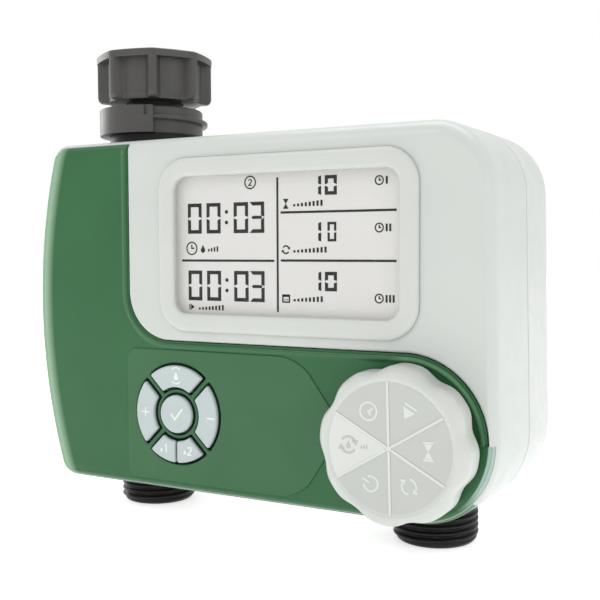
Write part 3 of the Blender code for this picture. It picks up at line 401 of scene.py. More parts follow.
GREEN = green_plastic("green_shell")
# Painted shade: a dark colour for the walls of the key holes and the keys' sides, where shade falls in the
# grooves round the keys.
GROOVE_PAINTED_SHADE = plastic("key_groove_painted_shade", linear(34, 54, 46), 0.6, 0.08)
WHITE = plastic("white_shell", linear(182, 186, 182), 0.36, 0.012)
BEZEL_WHITE = plastic("display_bezel", linear(184, 187, 182), 0.33, 0.012)
LENS = clear_plastic("display_lens")
# The lcd's emission is a painted glow that lifts the shade the window frame casts into the panel's recess.
LCD = plastic(
    "lcd", linear(177, 176, 174), 0.5, 0.012, grain=0.2 * MM, depth=0.002 * MM,
    Emission_Color=linear(222, 221, 216), Emission_Strength=0.3,
)
INK = plastic("lcd_segments", linear(7, 7, 8), 0.6, 0.1, grain=0.3 * MM, depth=0.002 * MM)
LIGHT_GUIDE = plastic("light_guide", linear(235, 238, 236), 0.4, 0.01)
RUBBER = plastic("rubber", linear(34, 34, 35), 0.75, 0.15, grain=0.25 * MM, depth=0.02 * MM)
KNOB_RIM = plastic("knob", linear(184, 187, 182), 0.38, 0.012)
KNOB_PANEL = plastic("knob_panel", linear(172, 175, 170), 0.42, 0.015)
KNOB_POINTER = plastic("knob_pointer", linear(192, 195, 190), 0.4, 0.01)
KNOB_PRINT = plastic("knob_print", linear(194, 197, 192), 0.4, 0.01)
POINTER_PRINT = plastic("pointer_print", linear(168, 170, 168), 0.45, 0.02)
KEYS = plastic("keys", linear(168, 178, 178), 0.36, 0.012, cloud=9 * MM)
KEY_PRINT = plastic("key_print", linear(206, 212, 210), 0.4, 0.01)
CHARCOAL = plastic("charcoal", linear(57, 56, 54), 0.42, 0.1, grain=0.5 * MM, depth=0.02 * MM)
BLACK = plastic(
    "black_fitting", linear(20, 18, 19), 0.4, 0.15, grain=0.5 * MM, depth=0.012 * MM,
    Specular_IOR_Level=0.25,
)
MOULDED = plastic("moulded", linear(96, 98, 100), 0.5, 0.06)
STEEL = metal("steel", linear(196, 196, 194), 0.32, (1, 1, 0.1))
SPRING_STEEL = metal("spring_steel", linear(205, 204, 200), 0.25)
WINDING = winding("winding")
BOARD = board_material("circuit_board")
LEAD = plastic("lead_sleeve", linear(30, 30, 32), 0.5, 0.15)
FLOOR = plastic(
    "floor", linear(236, 236, 236), 0.6, 0.004, cloud=300 * MM, grain=2 * MM, depth=0.01 * MM,
    Emission_Color=(1.0, 1.0, 1.0, 1.0), Emission_Strength=0.6,
)


# ---------------------------------------------------------------- mesh helpers


def from_bmesh(shape, name="shape"):
    bmesh.ops.recalc_face_normals(shape, faces=shape.faces)
    mesh = bpy.data.meshes.new(name)
    shape.to_mesh(mesh)
    shape.free()
    obj = bpy.data.objects.new(name, mesh)
    bpy.context.scene.collection.objects.link(obj)
    return obj


def arc(centre_x, centre_z, radius, start, end, steps, radius_z=None):
    height = radius if radius_z is None else radius_z
    points = []
    for step in range(steps + 1):
        angle = start + (end - start) * step / steps
        points.append((centre_x + radius * math.cos(angle), centre_z + height * math.sin(angle)))
    return points


def skin(rings, closed=False):
    """A closed surface over rings of points: capped at both ends, or joined end to end."""
    shape = bmesh.new()
    loops = [[shape.verts.new(point) for point in ring] for ring in rings]
    pairs = list(zip(loops, loops[1:]))
    if closed:
        pairs.append((loops[-1], loops[0]))
    for first, second in pairs:
        for i in range(len(first)):
            j = (i + 1) % len(first)
            shape.faces.new((first[i], first[j], second[j], second[i]))
    if not closed:
        shape.faces.new(loops[0])
        shape.faces.new(loops[-1])
    return from_bmesh(shape)


def loft(outline, stations, closed=False):
    """Rings along Y: outline(inset) gives XZ points, and stations are (y, inset)."""
    return skin([[(x, y, z) for x, z in outline(inset)] for y, inset in stations], closed)


def stack(outline, stations, centre):
    """Rings along Z: outline(inset) gives XY points about centre, and stations are (z, inset)."""
    rings = []
    for z, inset in stations:
        rings.append([(centre.x + x, centre.y + y, z) for x, y in outline(inset)])
    return skin(rings)


def rounding(end, inner, steps=6):
    """Stations of a quarter-round edge, from its end plane to the plane where it has died out."""
    radius = abs(inner - end)
    side = math.copysign(1, inner - end)
    stations = []
    for step in range(steps + 1):
        angle = QUARTER * step / steps
        stations.append((end + side * radius * (1 - math.cos(angle)), radius * (1 - math.sin(angle))))
    return stations


def round_rect(x_range, z_range, radius, grow=0.0, steps=12):
    left, right = x_range[0] - grow, x_range[1] + grow
    low, high = z_range[0] - grow, z_range[1] + grow
    radius = max(radius + grow, 0.3 * MM)
    points = []
    for turn, (x, z) in enumerate(((right, high), (left, high), (left, low), (right, low))):
        centre_x = x - math.copysign(radius, x - (left + right) / 2)
        centre_z = z - math.copysign(radius, z - (low + high) / 2)
        points += arc(centre_x, centre_z, radius, turn * QUARTER, (turn + 1) * QUARTER, steps)
    return points


def circle(x, z, radius, steps=64):
    return arc(x, z, radius, 0, 2 * math.pi * (steps - 1) / steps, steps - 1)


def ring_points(axis, place, radius, along, steps):
    """Points of a circle about an axis through place."""
    points = []
    for step in range(steps):
        angle = 2 * math.pi * step / steps
        a, b = radius * math.cos(angle), radius * math.sin(angle)
        if axis == "Z":
            points.append((place.x + a, place.y + b, along))
        elif axis == "Y":
            points.append((place.x + a, along, place.z + b))
        else:
            points.append((along, place.y + a, place.z + b))
    return points


def turned(profile, place, axis="Z", steps=64, closed=True):
    """A turned shape from (radius, place along the axis) points."""
    rings = [ring_points(axis, place, radius, along, steps) for radius, along in profile]
    return skin(rings, closed)


def rod(radius, start, end, place, axis="Z", steps=48):
    return turned(((radius, start), (radius, end)), place, axis, steps, closed=False)


def block(x_range, y_range, z_range):
    return loft(lambda inset: round_rect(x_range, z_range, -0.3 * MM, 0, 1), [(y, 0) for y in y_range])


def settle(obj):
    """Applies an object's modifiers."""
    bpy.context.view_layer.update()
    mesh = bpy.data.meshes.new_from_object(obj.evaluated_get(bpy.context.evaluated_depsgraph_get()))
    obj.modifiers.clear()
    obj.data = mesh


def combine(obj, operation, others):
    for other in others:
        modifier = obj.modifiers.new("combine", "BOOLEAN")
        modifier.operation = operation
        modifier.solver = "EXACT"
        modifier.object = other
        settle(obj)
        bpy.data.objects.remove(other, do_unlink=True)
    return obj


def cut(obj, *others):
    return combine(obj, "DIFFERENCE", others)


def join(obj, *others):
    return combine(obj, "UNION", others)


def common(obj, other):
    return combine(obj, "INTERSECT", (other,))


def piece(obj, name, material, body="case", replaces=(), sharp=34, weighted=True):
    """Names a finished shape, shades it and lets it ride on its body."""
    obj.name = name
    obj.data.name = name
    obj.data.materials.clear()
    obj.data.materials.append(material)
    shape = bmesh.new()
    shape.from_mesh(obj.data)
    bmesh.ops.dissolve_degenerate(shape, dist=0.001 * MM, edges=shape.edges)
    shape.to_mesh(obj.data)
    shape.free()
    obj.data.shade_smooth()
    obj.data.set_sharp_from_angle(angle=math.radians(sharp))
    if weighted:
        modifier = obj.modifiers.new("normals", "WEIGHTED_NORMAL")
        modifier.keep_sharp = True
        settle(obj)
    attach(obj, body)
    if replaces:
        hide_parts(*replaces)


def recoloured(obj, material, chosen):
    """Gives a second material to the faces that chosen picks."""
    obj.data.materials.append(material)
    for face in obj.data.polygons:
        if chosen(face):
            face.material_index = 1


# ---------------------------------------------------------------- flat marks


class Marks:
    """Thin flat shapes that face -Y, gathered into one mesh."""

    def __init__(self, y_front, y_back):
        self.shape = bmesh.new()
        self.depths = (y_front, y_back)
        self.at(0, 0)

    def at(self, x, z, size=MM, turn=0.0):
        self.origin = (x, z)
        self.axis = (size * math.cos(turn), size * math.sin(turn))
        return self

    def place(self, u, v):
        cos, sin = self.axis
        return self.origin[0] + u * cos - v * sin, self.origin[1] + u * sin + v * cos

    def ring(self, points, y):
        return [self.shape.verts.new((x, y, z)) for x, z in (self.place(u, v) for u, v in points)]

    def fill(self, points):
        front, back = (self.ring(points, y) for y in self.depths)
        for i in range(len(points)):
            j = (i + 1) % len(points)
            self.shape.faces.new((front[i], front[j], back[j], back[i]))
        self.shape.faces.new(front)
        self.shape.faces.new(back)

    def line(self, points, width, closed=False):
        """A line of even width through the points."""
        count = len(points)
        left, right = [], []
        for i, (u, v) in enumerate(points):
            before = points[i - 1] if i or closed else points[i]
            after = points[(i + 1) % count] if i + 1 < count or closed else points[i]
            sides = []
            for (a, b), (c, d) in ((before, (u, v)), ((u, v), after)):
                length = math.hypot(c - a, d - b)
                if length:
                    sides.append(Vector(((b - d) / length, (c - a) / length)))
            normal = sum(sides, Vector((0, 0))).normalized()
            reach = width / 2 / max(normal.dot(sides[0]), 0.4)
            left.append((u + normal.x * reach, v + normal.y * reach))
            right.append((u - normal.x * reach, v - normal.y * reach))
        if not closed:
            self.fill(left + right[::-1])
            return
        rings = [self.ring(edge, y) for y in self.depths for edge in (left, right)]
        order = (rings[0], rings[1], rings[3], rings[2])
        for first, second in zip(order, order[1:] + order[:1]):
            for i in range(count):
                j = (i + 1) % count
                self.shape.faces.new((first[i], first[j], second[j], second[i]))

    def disc(self, u, v, radius, steps=24):
        self.fill(circle(u, v, radius, steps))

    def hoop(self, u, v, radius, width, steps=36):
        self.line(circle(u, v, radius, steps), width, closed=True)

    def box(self, left, low, right, high):
        self.fill([(left, low), (right, low), (right, high), (left, high)])

    def done(self, name, material, body="case"):
        piece(from_bmesh(self.shape), name, material, body, weighted=False)


# Pictograms, each about 2 units high and centred on its place.


def draw_drop(marks):
    marks.fill([(0, 1.1)] + arc(0, -0.35, 0.68, math.radians(28), math.radians(-208), 16))


def draw_clock(marks, stroke):
    marks.hoop(0, 0, 1, stroke)
    marks.line([(0, 0.62), (0, 0), (0.5, 0)], stroke)


def draw_hourglass(marks, stroke):
    marks.line([(-0.62, 0.95), (0.62, 0.95)], stroke)
    marks.line([(-0.62, -0.95), (0.62, -0.95)], stroke)
    marks.fill([(-0.5, 0.8), (0.5, 0.8), (0.07, 0.03), (-0.07, 0.03)])
    marks.fill([(-0.07, -0.03), (0.07, -0.03), (0.5, -0.8), (-0.5, -0.8)])


def draw_cycle(marks, stroke):
    """Two arrows that chase each other round a circle."""
    for half in (0, 1):
        start = math.pi * half + 0.5
        marks.line(arc(0, 0, 0.85, start + 0.1, start + 2.05, 12), stroke)
        tip = start - 0.35
        head = [(0.85 + side * 0.42, lift) for side, lift in ((-1, 0.38), (1, 0.38), (0, -0.2))]
        turn = (math.cos(tip), math.sin(tip))
        marks.fill([(u * turn[0] - v * turn[1], u * turn[1] + v * turn[0]) for u, v in head])


def draw_play(marks, stroke):
    marks.fill([(-0.45, 0.8), (-0.45, -0.8), (0.75, 0)])
    marks.line([(-0.85, 0.8), (-0.85, -0.8)], stroke)


def draw_power(marks, stroke):
    marks.line(arc(0, -0.1, 0.85, math.radians(125), math.radians(415), 24), stroke)
    marks.line([(0, 0.1), (0, 1.05)], stroke)


def draw_calendar(marks, stroke):
    frame_points = [(-0.85, -0.85), (0.85, -0.85), (0.85, 0.7), (-0.85, 0.7)]
    marks.line(frame_points, stroke, closed=True)
    marks.box(-0.85, 0.3, 0.85, 0.7)
    for column in (-0.4, 0.0, 0.4):
        marks.box(column - 0.11, -0.45, column + 0.11, -0.2)


def draw_tick(marks, stroke):
    marks.line([(-0.85, 0.05), (-0.25, -0.65), (0.9, 0.75)], stroke)


def draw_one(marks, stroke):
    marks.line([(-0.35, 0.55), (0.05, 0.95), (0.05, -0.95)], stroke)


def draw_two(marks, stroke):
    bow = arc(0, 0.4, 0.5, math.radians(165), math.radians(-35), 12)
    marks.line(bow + [(-0.5, -0.9), (0.55, -0.9)], stroke)


def draw_bars(marks, count, pitch=1.0):
    """A row of small level bars, rising to the right."""
    for number in range(count):
        left = number * pitch
        marks.box(left, -0.8, left + 0.55 * pitch, -0.8 + 0.5 + 1.1 * (number + 1) / count)


# ---------------------------------------------------------------- case


def right_corner(z, radius, inset, side_inset, start, end, steps):
    """A corner whose centre is at height z and keeps its distance to the leaning right side."""
    x = CASE_RIGHT - radius / math.cos(RIGHT_LEAN) - (z - RIGHT_Z) * math.tan(RIGHT_LEAN)
    return arc(x, z, radius - side_inset, start, end, steps, radius - inset)


def case_outline(inset, side_inset):
    """The case's outline in XZ, moved inwards by inset, and on its right side by side_inset."""
    bow = BOW_RADIUS - inset
    left = max(LEFT_RADIUS - inset, 0.8 * MM)

    def left_centre(z):
        return BOW_X - math.sqrt((bow - left) ** 2 - (z - BOW_Z) ** 2), z

    upper, lower = left_centre(CASE_TOP - inset - left), left_centre(CASE_BOTTOM + inset + left)
    upper_angle = math.atan2(upper[1] - BOW_Z, upper[0] - BOW_X)
    lower_angle = math.atan2(lower[1] - BOW_Z, lower[0] - BOW_X) + 2 * math.pi
    top_z, low_z = CASE_TOP - TOP_RIGHT_RADIUS, CASE_BOTTOM + BOTTOM_RIGHT_RADIUS
    low_turn = (3 * QUARTER, 4 * QUARTER + RIGHT_LEAN)
    points = right_corner(top_z, TOP_RIGHT_RADIUS, inset, side_inset, RIGHT_LEAN, QUARTER, 20)
    points += arc(*upper, left, QUARTER, upper_angle, 10)
    points += arc(BOW_X, BOW_Z, bow, upper_angle, lower_angle, 24)[1:-1]
    points += arc(*lower, left, lower_angle, 3 * QUARTER, 10)
    points += right_corner(low_z, BOTTOM_RIGHT_RADIUS, inset, side_inset, *low_turn, 22)
    return points


def side_draft(y):
    """How far the right side stands in, more and more from the parting plane to the front."""
    return FRONT_DRAFT * max(0.0, PARTING - y) / (PARTING - CASE_FRONT)


def case_block(stations, share=1):
    """A block with the case's outline, whose right side takes only a share of each inset."""
    insets = [(y, (inset, inset * share + side_draft(y))) for y, inset in stations]
    return loft(lambda pair: case_outline(*pair), insets)


def front_block(stations):
    """A block whose front edge is rounded over less width on the right side."""
    return case_block(stations, RIGHT_ROUND_SHARE)


def boundary(grow):
    """The edge between the green cover and the white housing, moved into the white by grow."""
    corner = (COLUMN_X + COVER_CORNER, BAND_Z + COVER_CORNER)
    points = arc(*corner, COVER_CORNER - grow, math.pi, 1.5 * math.pi, 20)
    points += arc(KNOB.x, CIRCLE_Z, COVER_CIRCLE + grow, QUARTER, 0, 32)
    return points


def cover_outline(grow):
    """The green side of the boundary; its other edges run far outside the case."""
    points = [(COLUMN_X + grow, CASE_TOP + FAR)] + boundary(grow)
    points += [(2 * FAR, CIRCLE_Z + grow), (2 * FAR, -FAR)]
    return points + [(-2 * FAR, -FAR), (-2 * FAR, CASE_TOP + FAR)]


def display_outline(inset):
    """The white side of the boundary, moved inwards by inset."""
    points = [(COLUMN_X + inset, CASE_TOP + FAR)] + boundary(inset)
    return points + [(2 * FAR, CIRCLE_Z + inset), (2 * FAR, CASE_TOP + FAR)]


def pipe_openings():
    """Cutters for the neck of the collar on top and for the two outlets below."""
    inlet_hole, outlet_hole = COLLAR_NECK + 0.4 * MM, THREAD_RADIUS + 0.4 * MM
    holes = [rod(inlet_hole, CASE_TOP - 11 * MM, CASE_TOP + 9 * MM, INLET)]
    for number in (1, 2):
        place = middle(f"outlet_{number}")
        holes.append(rod(outlet_hole, 5 * MM, CASE_BOTTOM + 7.6 * MM, place))
    return holes


def down_to_skirt(stations):
    """Front stations that end at the skirt's plane, and the step behind it."""
    kept = [station for station in stations if station[0] < SKIRT_Y]
    (y_0, inset_0), (y_1, inset_1) = kept[-1], stations[len(kept)]
    inset = inset_0 + (inset_1 - inset_0) * (SKIRT_Y - y_0) / (y_1 - y_0)
    return kept + [(SKIRT_Y, inset), (SKIRT_Y, COVER_STEP), (COVER_BACK, COVER_STEP)]


def front_cover():
    """Green L-shaped cap: a sunk face with a round bead along its boundary."""
    face_y = CASE_FRONT + COVER_DEPTH
    edge = -GAP / 2 - 0.5 * MM
    bead = [(CASE_FRONT - FAR, LIP_ROUND)] + rounding(CASE_FRONT, CASE_FRONT + LIP_ROUND)
    front = down_to_skirt(rounding(CASE_FRONT, CASE_FRONT + FRONT_ROUND, 14))
    lip = common(front_block(front), loft(lambda inset: cover_outline(edge - inset), bead + [(FAR, 0)]))
    flare = [(CASE_FRONT - FAR, -0.9 * MM)]
    flare += [(CASE_FRONT + dy * MM, dx * MM) for dy, dx in (
        (0, -0.9), (0.06, -0.62), (0.18, -0.36), (0.34, -0.16), (0.5, 0.1), (0.58, 0.4), (0.6, 0.9),
    )]
    flare.append((face_y + 0.3 * MM, 0.9 * MM))
    cut(lip, loft(lambda inset: cover_outline(edge - LIP_WIDTH - inset), flare))
    face_round = FRONT_ROUND - COVER_DEPTH
    start = FRONT_ROUND - 0.4 * MM
    sunk = [(y, inset * start / face_round) for y, inset in rounding(face_y, face_y + face_round, 14)]
    face = common(
        front_block(down_to_skirt(sunk)),
        loft(lambda inset: cover_outline(-GAP / 2), [(-FAR, 0), (FAR, 0)]),
    )
    cover = join(lip, face)
    seat = loft(lambda inset: plate_outline(0.03 * MM), [(-FAR, 0), (PLATE_BACK + GAP, 0)])
    keys = rod(KEY_HOLE, -FAR, 0, KEYPAD, "Y")
    spindle = rod(3.2 * MM, -FAR, 0, KNOB, "Y")
    cut(cover, seat, keys, spindle)
    piece(cover, "green_cover", GREEN, "case", ["front_cover"])


def case_edge(place):
    """About how far a point stands inside the bottom and the lower right corner of the case."""
    corner_x = CASE_RIGHT - BOTTOM_RIGHT_RADIUS
    corner_z = CASE_BOTTOM + BOTTOM_RIGHT_RADIUS
    if place.x < corner_x:
        return place.z - CASE_BOTTOM
    return BOTTOM_RIGHT_RADIUS - math.hypot(place.x - corner_x, place.z - corner_z)


def display_housing():
    """White front half: the raised display field with a softened edge, and the body behind it."""
    seam = PARTING - GAP / 2
    front = rounding(CASE_FRONT, CASE_FRONT + FRONT_ROUND, 14)
    housing = front_block(front + [(seam - SEAM_ROUND, 0), (seam, SEAM_ROUND)])
    edge = GAP / 2
    softened = [(CASE_FRONT - FAR, HOUSING_EDGE)]
    softened += rounding(CASE_FRONT, CASE_FRONT + HOUSING_EDGE)
    softened += [(COVER_BACK + GAP, 0)]
    recess = loft(lambda grow: cover_outline(edge + grow), softened)
    step_y, inner = SKIRT_Y + GAP, COVER_STEP - GAP
    room = front_block([(CASE_FRONT - 2 * FAR, -GAP), (step_y, -GAP), (step_y, inner), (0, inner)])
    cut(housing, common(recess, room))
    cavity = case_block([
        (CAVITY_FRONT, SHELF), (CAVITY_STEP, SHELF), (CAVITY_WIDE, WALL), (CAVITY_BACK, WALL),
    ])
    display_back = CASE_FRONT + WALL
    room = loft(lambda inset: display_outline(2 * MM), [(display_back, 0), (-17 * MM, 0)])
    room = common(room, case_block([(display_back, SHELF), (0, SHELF)]))
    neck = round_rect(WINDOW_X, WINDOW_Z, WINDOW_RADIUS, BEZEL_MARGIN - 2 * MM)
    opening = loft(lambda inset: neck, [(-FAR, 0), (CUT_THROUGH, 0)])
    keys = rod(KEY_HOLE, -FAR, CUT_THROUGH, KEYPAD, "Y")
    spindle = rod(5.1 * MM, -FAR, CUT_THROUGH, KNOB, "Y")
    cut(housing, cavity, room, opening, keys, spindle, *pipe_openings())
    piece(housing, "white_front_shell", WHITE, "case", ["display_housing"])
    strip_back, strip_top = CASE_FRONT + FRONT_ROUND + 0.4 * MM, CASE_BOTTOM + 8 * MM

    def in_green_strip(face):
        place = face.center
        if not SKIRT_Y < place.y < strip_back or face.normal.z >= -0.55:
            return False
        return place.z < strip_top and case_edge(place) < FRONT_ROUND

    recoloured(housing, GREEN, in_green_strip)


def rear_shell():
    """White back half, with the battery opening and four deep screw wells."""
    seam = PARTING + GAP / 2
    back = rounding(CASE_BACK, CASE_BACK - BACK_ROUND, 14)[::-1]
    shell = case_block([(seam, SEAM_ROUND), (seam + SEAM_ROUND, 0)] + back)
    inner = rounding(CASE_BACK - WALL, CASE_BACK - BACK_ROUND, 8)[::-1]
    room = case_block([(PARTING, WALL)] + [(y, WALL + inset) for y, inset in inner])
    cut(shell, room, *pipe_openings())
    pad_y = [(30.8 * MM, 0), (CASE_BACK - WALL / 2, 0)]
    join(shell, loft(lambda inset: round_rect(DOOR_X, DOOR_Z, 3 * MM, 3.5 * MM), pad_y))
    for place in SCREWS:
        join(shell, rod(4.6 * MM, seam, CASE_BACK - WALL, place, "Y"))
    well, bevel = SCREW_HEAD + 0.4 * MM, 0.5 * MM
    mouth = ((well, 12 * MM), (well, CASE_BACK - bevel), (well + bevel, CASE_BACK), (well + bevel, FAR))
    for place in SCREWS:
        shank = rod(SCREW_SHANK + 0.4 * MM, 0, FAR, place, "Y", 24)
        cut(shell, shank, turned(mouth, place, "Y", 48, False))
    floor = CASE_BACK - DOOR_THICKNESS - GAP
    tray_x, tray_z = span("battery_tray", 0), span("battery_tray", 2)
    opening = loft(lambda inset: round_rect(tray_x, tray_z, 1 * MM, -1.5 * MM), [(25 * MM, 0), (FAR, 0)])
    softened = [(floor, 0), (CASE_BACK - 0.4 * MM, 0), (CASE_BACK, 0.4 * MM), (FAR, 0.4 * MM)]
    rebate = loft(lambda inset: round_rect(DOOR_X, DOOR_Z, 2 * MM, GAP + inset), softened)
    pivots = (DOOR_X[0] - 2.4 * MM, DOOR_X[1] + 2.4 * MM)
    slots = block(pivots, (floor, FAR), (DOOR_Z[0] - GAP, DOOR_Z[0] + 2.1 * MM))
    finger_place = Vector((sum(DOOR_X) / 2, 0, DOOR_Z[1] + 3 * MM))
    finger = turned(
        ((7.4 * MM, CASE_BACK - 1.6 * MM), (9 * MM, CASE_BACK + 0.02 * MM), (9 * MM, FAR)),
        finger_place, "Y", 64, False,
    )
    seal_x, seal_z = span("door_seal", 0), span("door_seal", 2)
    groove_y = [(floor - 0.9 * MM, 0), (floor + MM, 0)]
    groove = loft(lambda inset: round_rect(seal_x, seal_z, 1.4 * MM, 0.2 * MM), groove_y)
    island = loft(lambda inset: round_rect(seal_x, seal_z, 1 * MM, -1.4 * MM), [(0, 0), (FAR, 0)])
    cut(shell, opening, rebate, slots, cut(groove, island), finger)
    piece(shell, "white_rear_shell", WHITE, "case", ["rear_shell"])


# ---------------------------------------------------------------- display


def bezel():
    """Raised display frame, softly rounded outside and dipping to the window inside."""
    base, neck_end = CASE_FRONT - GAP, CASE_FRONT + WALL
    neck = BEZEL_MARGIN - 2 * MM - GAP
    profile = [(base, BEZEL_MARGIN)]
    profile += [(BEZEL_FRONT + 1.0 * MM - dy * MM, BEZEL_MARGIN - dx * MM) for dy, dx in (
        (0.3, 0.05), (0.6, 0.25), (0.8, 0.6), (0.93, 1.1), (0.99, 1.7), (1.0, 2.4),
    )]
    profile += [(BEZEL_FRONT + dy * MM, dx * MM) for dy, dx in (
        (0.02, 1.5), (0.1, 0.95), (0.25, 0.5), (0.5, 0.2), (0.85, 0.04), (1.3, 0.0),
    )]
    pocket = 1.8 * MM
    profile += [(-23.1 * MM, 0), (-23.1 * MM, pocket), (neck_end, pocket), (neck_end, neck), (base, neck)]
    frame_shape = loft(lambda grow: round_rect(WINDOW_X, WINDOW_Z, WINDOW_RADIUS, grow, 16), profile, True)
    piece(frame_shape, "display_bezel_frame", BEZEL_WHITE, "case", ["lcd_bezel"])


def lens():
    low, high = span("lcd_window", 1)
    soft = 0.3 * MM
    stations = [(low, soft), (low + soft, 0), (high, 0)]
    shape = loft(
        lambda inset: round_rect(WINDOW_X, WINDOW_Z, WINDOW_RADIUS, LENS_MARGIN - inset), stations
    )
    piece(shape, "display_window", LENS, "case", ["lcd_window"])


SEGMENTS = {"0": "abcdef", "1": "bc", "3": "abcdg"}


def digit(marks, symbol, width, height, stroke):
    """A seven-segment digit whose lower left corner is at the current place."""
    gap, mid_gap = 0.01, 0.18
    half = height / 2
    inner, thin = stroke + 0.02, stroke * 0.42
    shapes = {
        "a": [
            (gap, height), (width - gap, height), (width - inner, height - stroke), (inner, height - stroke),
        ],
        "b": [
            (width, height - gap), (width, half + mid_gap),
            (width - stroke, half + stroke * 0.5), (width - stroke, height - inner),
        ],
    }
    if symbol == "1":
        side, slant = width - stroke, stroke * 0.3
        shapes["b"][2:] = [(side, half + mid_gap + slant), (side, height - gap - slant)]

    def mirrored(points, across, up):
        return [((width - u) if across else u, (height - v) if up else v) for u, v in points]

    shapes["c"] = mirrored(shapes["b"], False, True)
    shapes["d"] = mirrored(shapes["a"], False, True)
    shapes["e"] = mirrored(shapes["b"], True, True)
    shapes["f"] = mirrored(shapes["b"], True, False)
    shapes["g"] = [
        (inner - thin, half), (inner, half + thin), (width - inner, half + thin),
        (width - inner + thin, half), (width - inner, half - thin), (inner, half - thin),
    ]
    for letter in SEGMENTS[symbol]:
        marks.fill(shapes[letter])


def display_marks():
    """Digits, dividing lines and pictograms, as thin dark shapes on the panel."""
    marks = Marks(PANEL_FRONT - 0.06 * MM, PANEL_FRONT + 0.01 * MM)
    left, low = WINDOW_X[0], WINDOW_Z[0]

    def at(x, z, size=1.0):
        return marks.at(left + x * MM, low + z * MM, size * MM)

    for baseline in (25.4, 4.0):
        for x, symbol in ((3.3, "0"), (10.5, "0"), (20.7, "0"), (26.5, "3")):
            digit(at(x, baseline), symbol, 5.3, 9.6, 1.15)
        for lift in (3.4, 6.7):
            at(18.0, baseline + lift).disc(0, 0, 0.6)
    numbers = ((36.4, 52.7, 4.0, 1.05), (22.6, 53.6, 2.9, 0.75), (7.8, 52.7, 4.0, 1.05))
    for baseline, x, width, stroke in numbers:
        digit(at(47.9, baseline), "1", 3.6, 5.8, 1.0)
        digit(at(x, baseline), "0", width, 5.8, stroke)
    line = 0.7
    at(0, 0).line([(36.5, 1.1), (36.5, 42.2)], line)
    at(0, 0).line([(0.9, 16.8), (35.3, 16.8)], line)
    for height in (31.5, 16.9):
        at(0, 0).line([(37.6, height), (75.7, height)], line)
    at(26.8, 41.0, 1.9).hoop(0, 0, 1, 0.22)
    draw_two(at(26.8, 41.0, 1.0), 0.36)
    draw_clock(at(4.7, 20.7, 1.95), 0.22)
    draw_drop(at(9.0, 20.5, 1.2))
    draw_bars(at(10.9, 20.5, 1.05), 4, 1.05)
    draw_play(at(4.7, 1.9, 1.15), 0.34)
    draw_bars(at(7.2, 1.9, 1.05), 8, 1.2)
    for icon, height, count in ((draw_hourglass, 34.1, 8), (draw_cycle, 20.2, 9), (draw_calendar, 5.4, 8)):
        icon(at(39.4, height, 1.35), 0.34)
        draw_bars(at(42.0, height, 1.1), count, 1.2)
    for height, count in ((40.1, 1), (26.5, 2), (6.0, 3)):
        draw_clock(at(70.3, height, 1.25), 0.32)
        for number in range(count):
            at(72.3 + 1.1 * number, height).box(0, -1.1, 0.65, 1.1)
    marks.done("display_digits", INK)


# ---------------------------------------------------------------- keypad


def plate_outline(grow):
    """Round-cornered plate whose right end is an arrow towards the knob."""
    left, low, high = -43.6 * MM - grow, 14.6 * MM - grow, 57.8 * MM + grow
    shoulder, tip = 13.5 * MM, 36.5 * MM + 1.4 * grow
    corner = 3.5 * MM + grow
    bend = 16 * MM + grow
    points = arc(left + corner, high - corner, corner, math.pi, QUARTER, 10)
    points += arc(shoulder, high - bend, bend, QUARTER, QUARTER / 2, 12)
    points += [(tip, KEYPAD.z)]
    points += arc(shoulder, low + bend, bend, -QUARTER / 2, -QUARTER, 12)
    points += arc(left + corner, low + corner, corner, 3 * QUARTER, math.pi, 10)
    return points


def filleted(points, corners):
    """The outline with a small round at each listed corner."""
    count = len(points)
    made = []
    for number, point in enumerate(points):
        if number not in corners:
            made.append(point)
            continue
        corner = Vector(point)
        reach = []
        for other in (points[number - 1], points[(number + 1) % count]):
            way = Vector(other) - corner
            reach.append(corner + way.normalized() * min(KEY_CORNER, way.length * 0.8))
        for share in (0, 0.25, 0.5, 0.75, 1):
            first, last = reach[0].lerp(corner, share), corner.lerp(reach[1], share)
            made.append(tuple(first.lerp(last, share)))
    return made


def ring_sector(outer_ends, inner_ends, grow, steps):
    """A ring sector from its ends' angles, with its four corners filleted."""
    points = arc(KEYPAD.x, KEYPAD.z, KEY_OUTER + grow, *outer_ends, steps)
    points += arc(KEYPAD.x, KEYPAD.z, KEY_INNER - grow, *inner_ends[::-1], steps)
    return filleted(points, (0, steps, steps + 1, 2 * steps + 1))


def key_sector(start, end, grow):
    """A ring sector whose straight sides run parallel to the gaps beside it."""
    ends = []
    for radius in (KEY_OUTER + grow, KEY_INNER - grow):
        half_gap = math.asin((KEY_GAP / 2 - grow) / radius)
        ends.append((start + half_gap, end - half_gap))
    return ring_sector(*ends, grow, 18)


def half_sector(side, grow):
    """One of the two zone keys, which meet at a narrow gap below the centre."""
    edge = math.radians(225 if side < 0 else 315)
    ends = []
    for radius in (KEY_OUTER + grow, KEY_INNER - grow):
        outer_gap = math.asin((KEY_GAP / 2 - grow) / radius)
        inner_gap = math.asin((0.35 * MM - grow * 0.5) / radius)
        pair = (edge - side * outer_gap, 3 * QUARTER + side * inner_gap)
        ends.append(pair if side < 0 else pair[::-1])
    return ring_sector(*ends, grow, 12)


EIGHTH = QUARTER / 2
KEY_OUTLINES = {
    "button_manual": lambda grow: key_sector(EIGHTH, 3 * EIGHTH, grow),
    "button_plus": lambda grow: key_sector(3 * EIGHTH, 5 * EIGHTH, grow),
    "button_minus": lambda grow: key_sector(-EIGHTH, EIGHTH, grow),
    "button_zone_1": lambda grow: half_sector(-1, grow),
    "button_zone_2": lambda grow: half_sector(1, grow),
    "button_ok": lambda grow: circle(KEYPAD.x, KEYPAD.z, OK_RADIUS + grow),
}


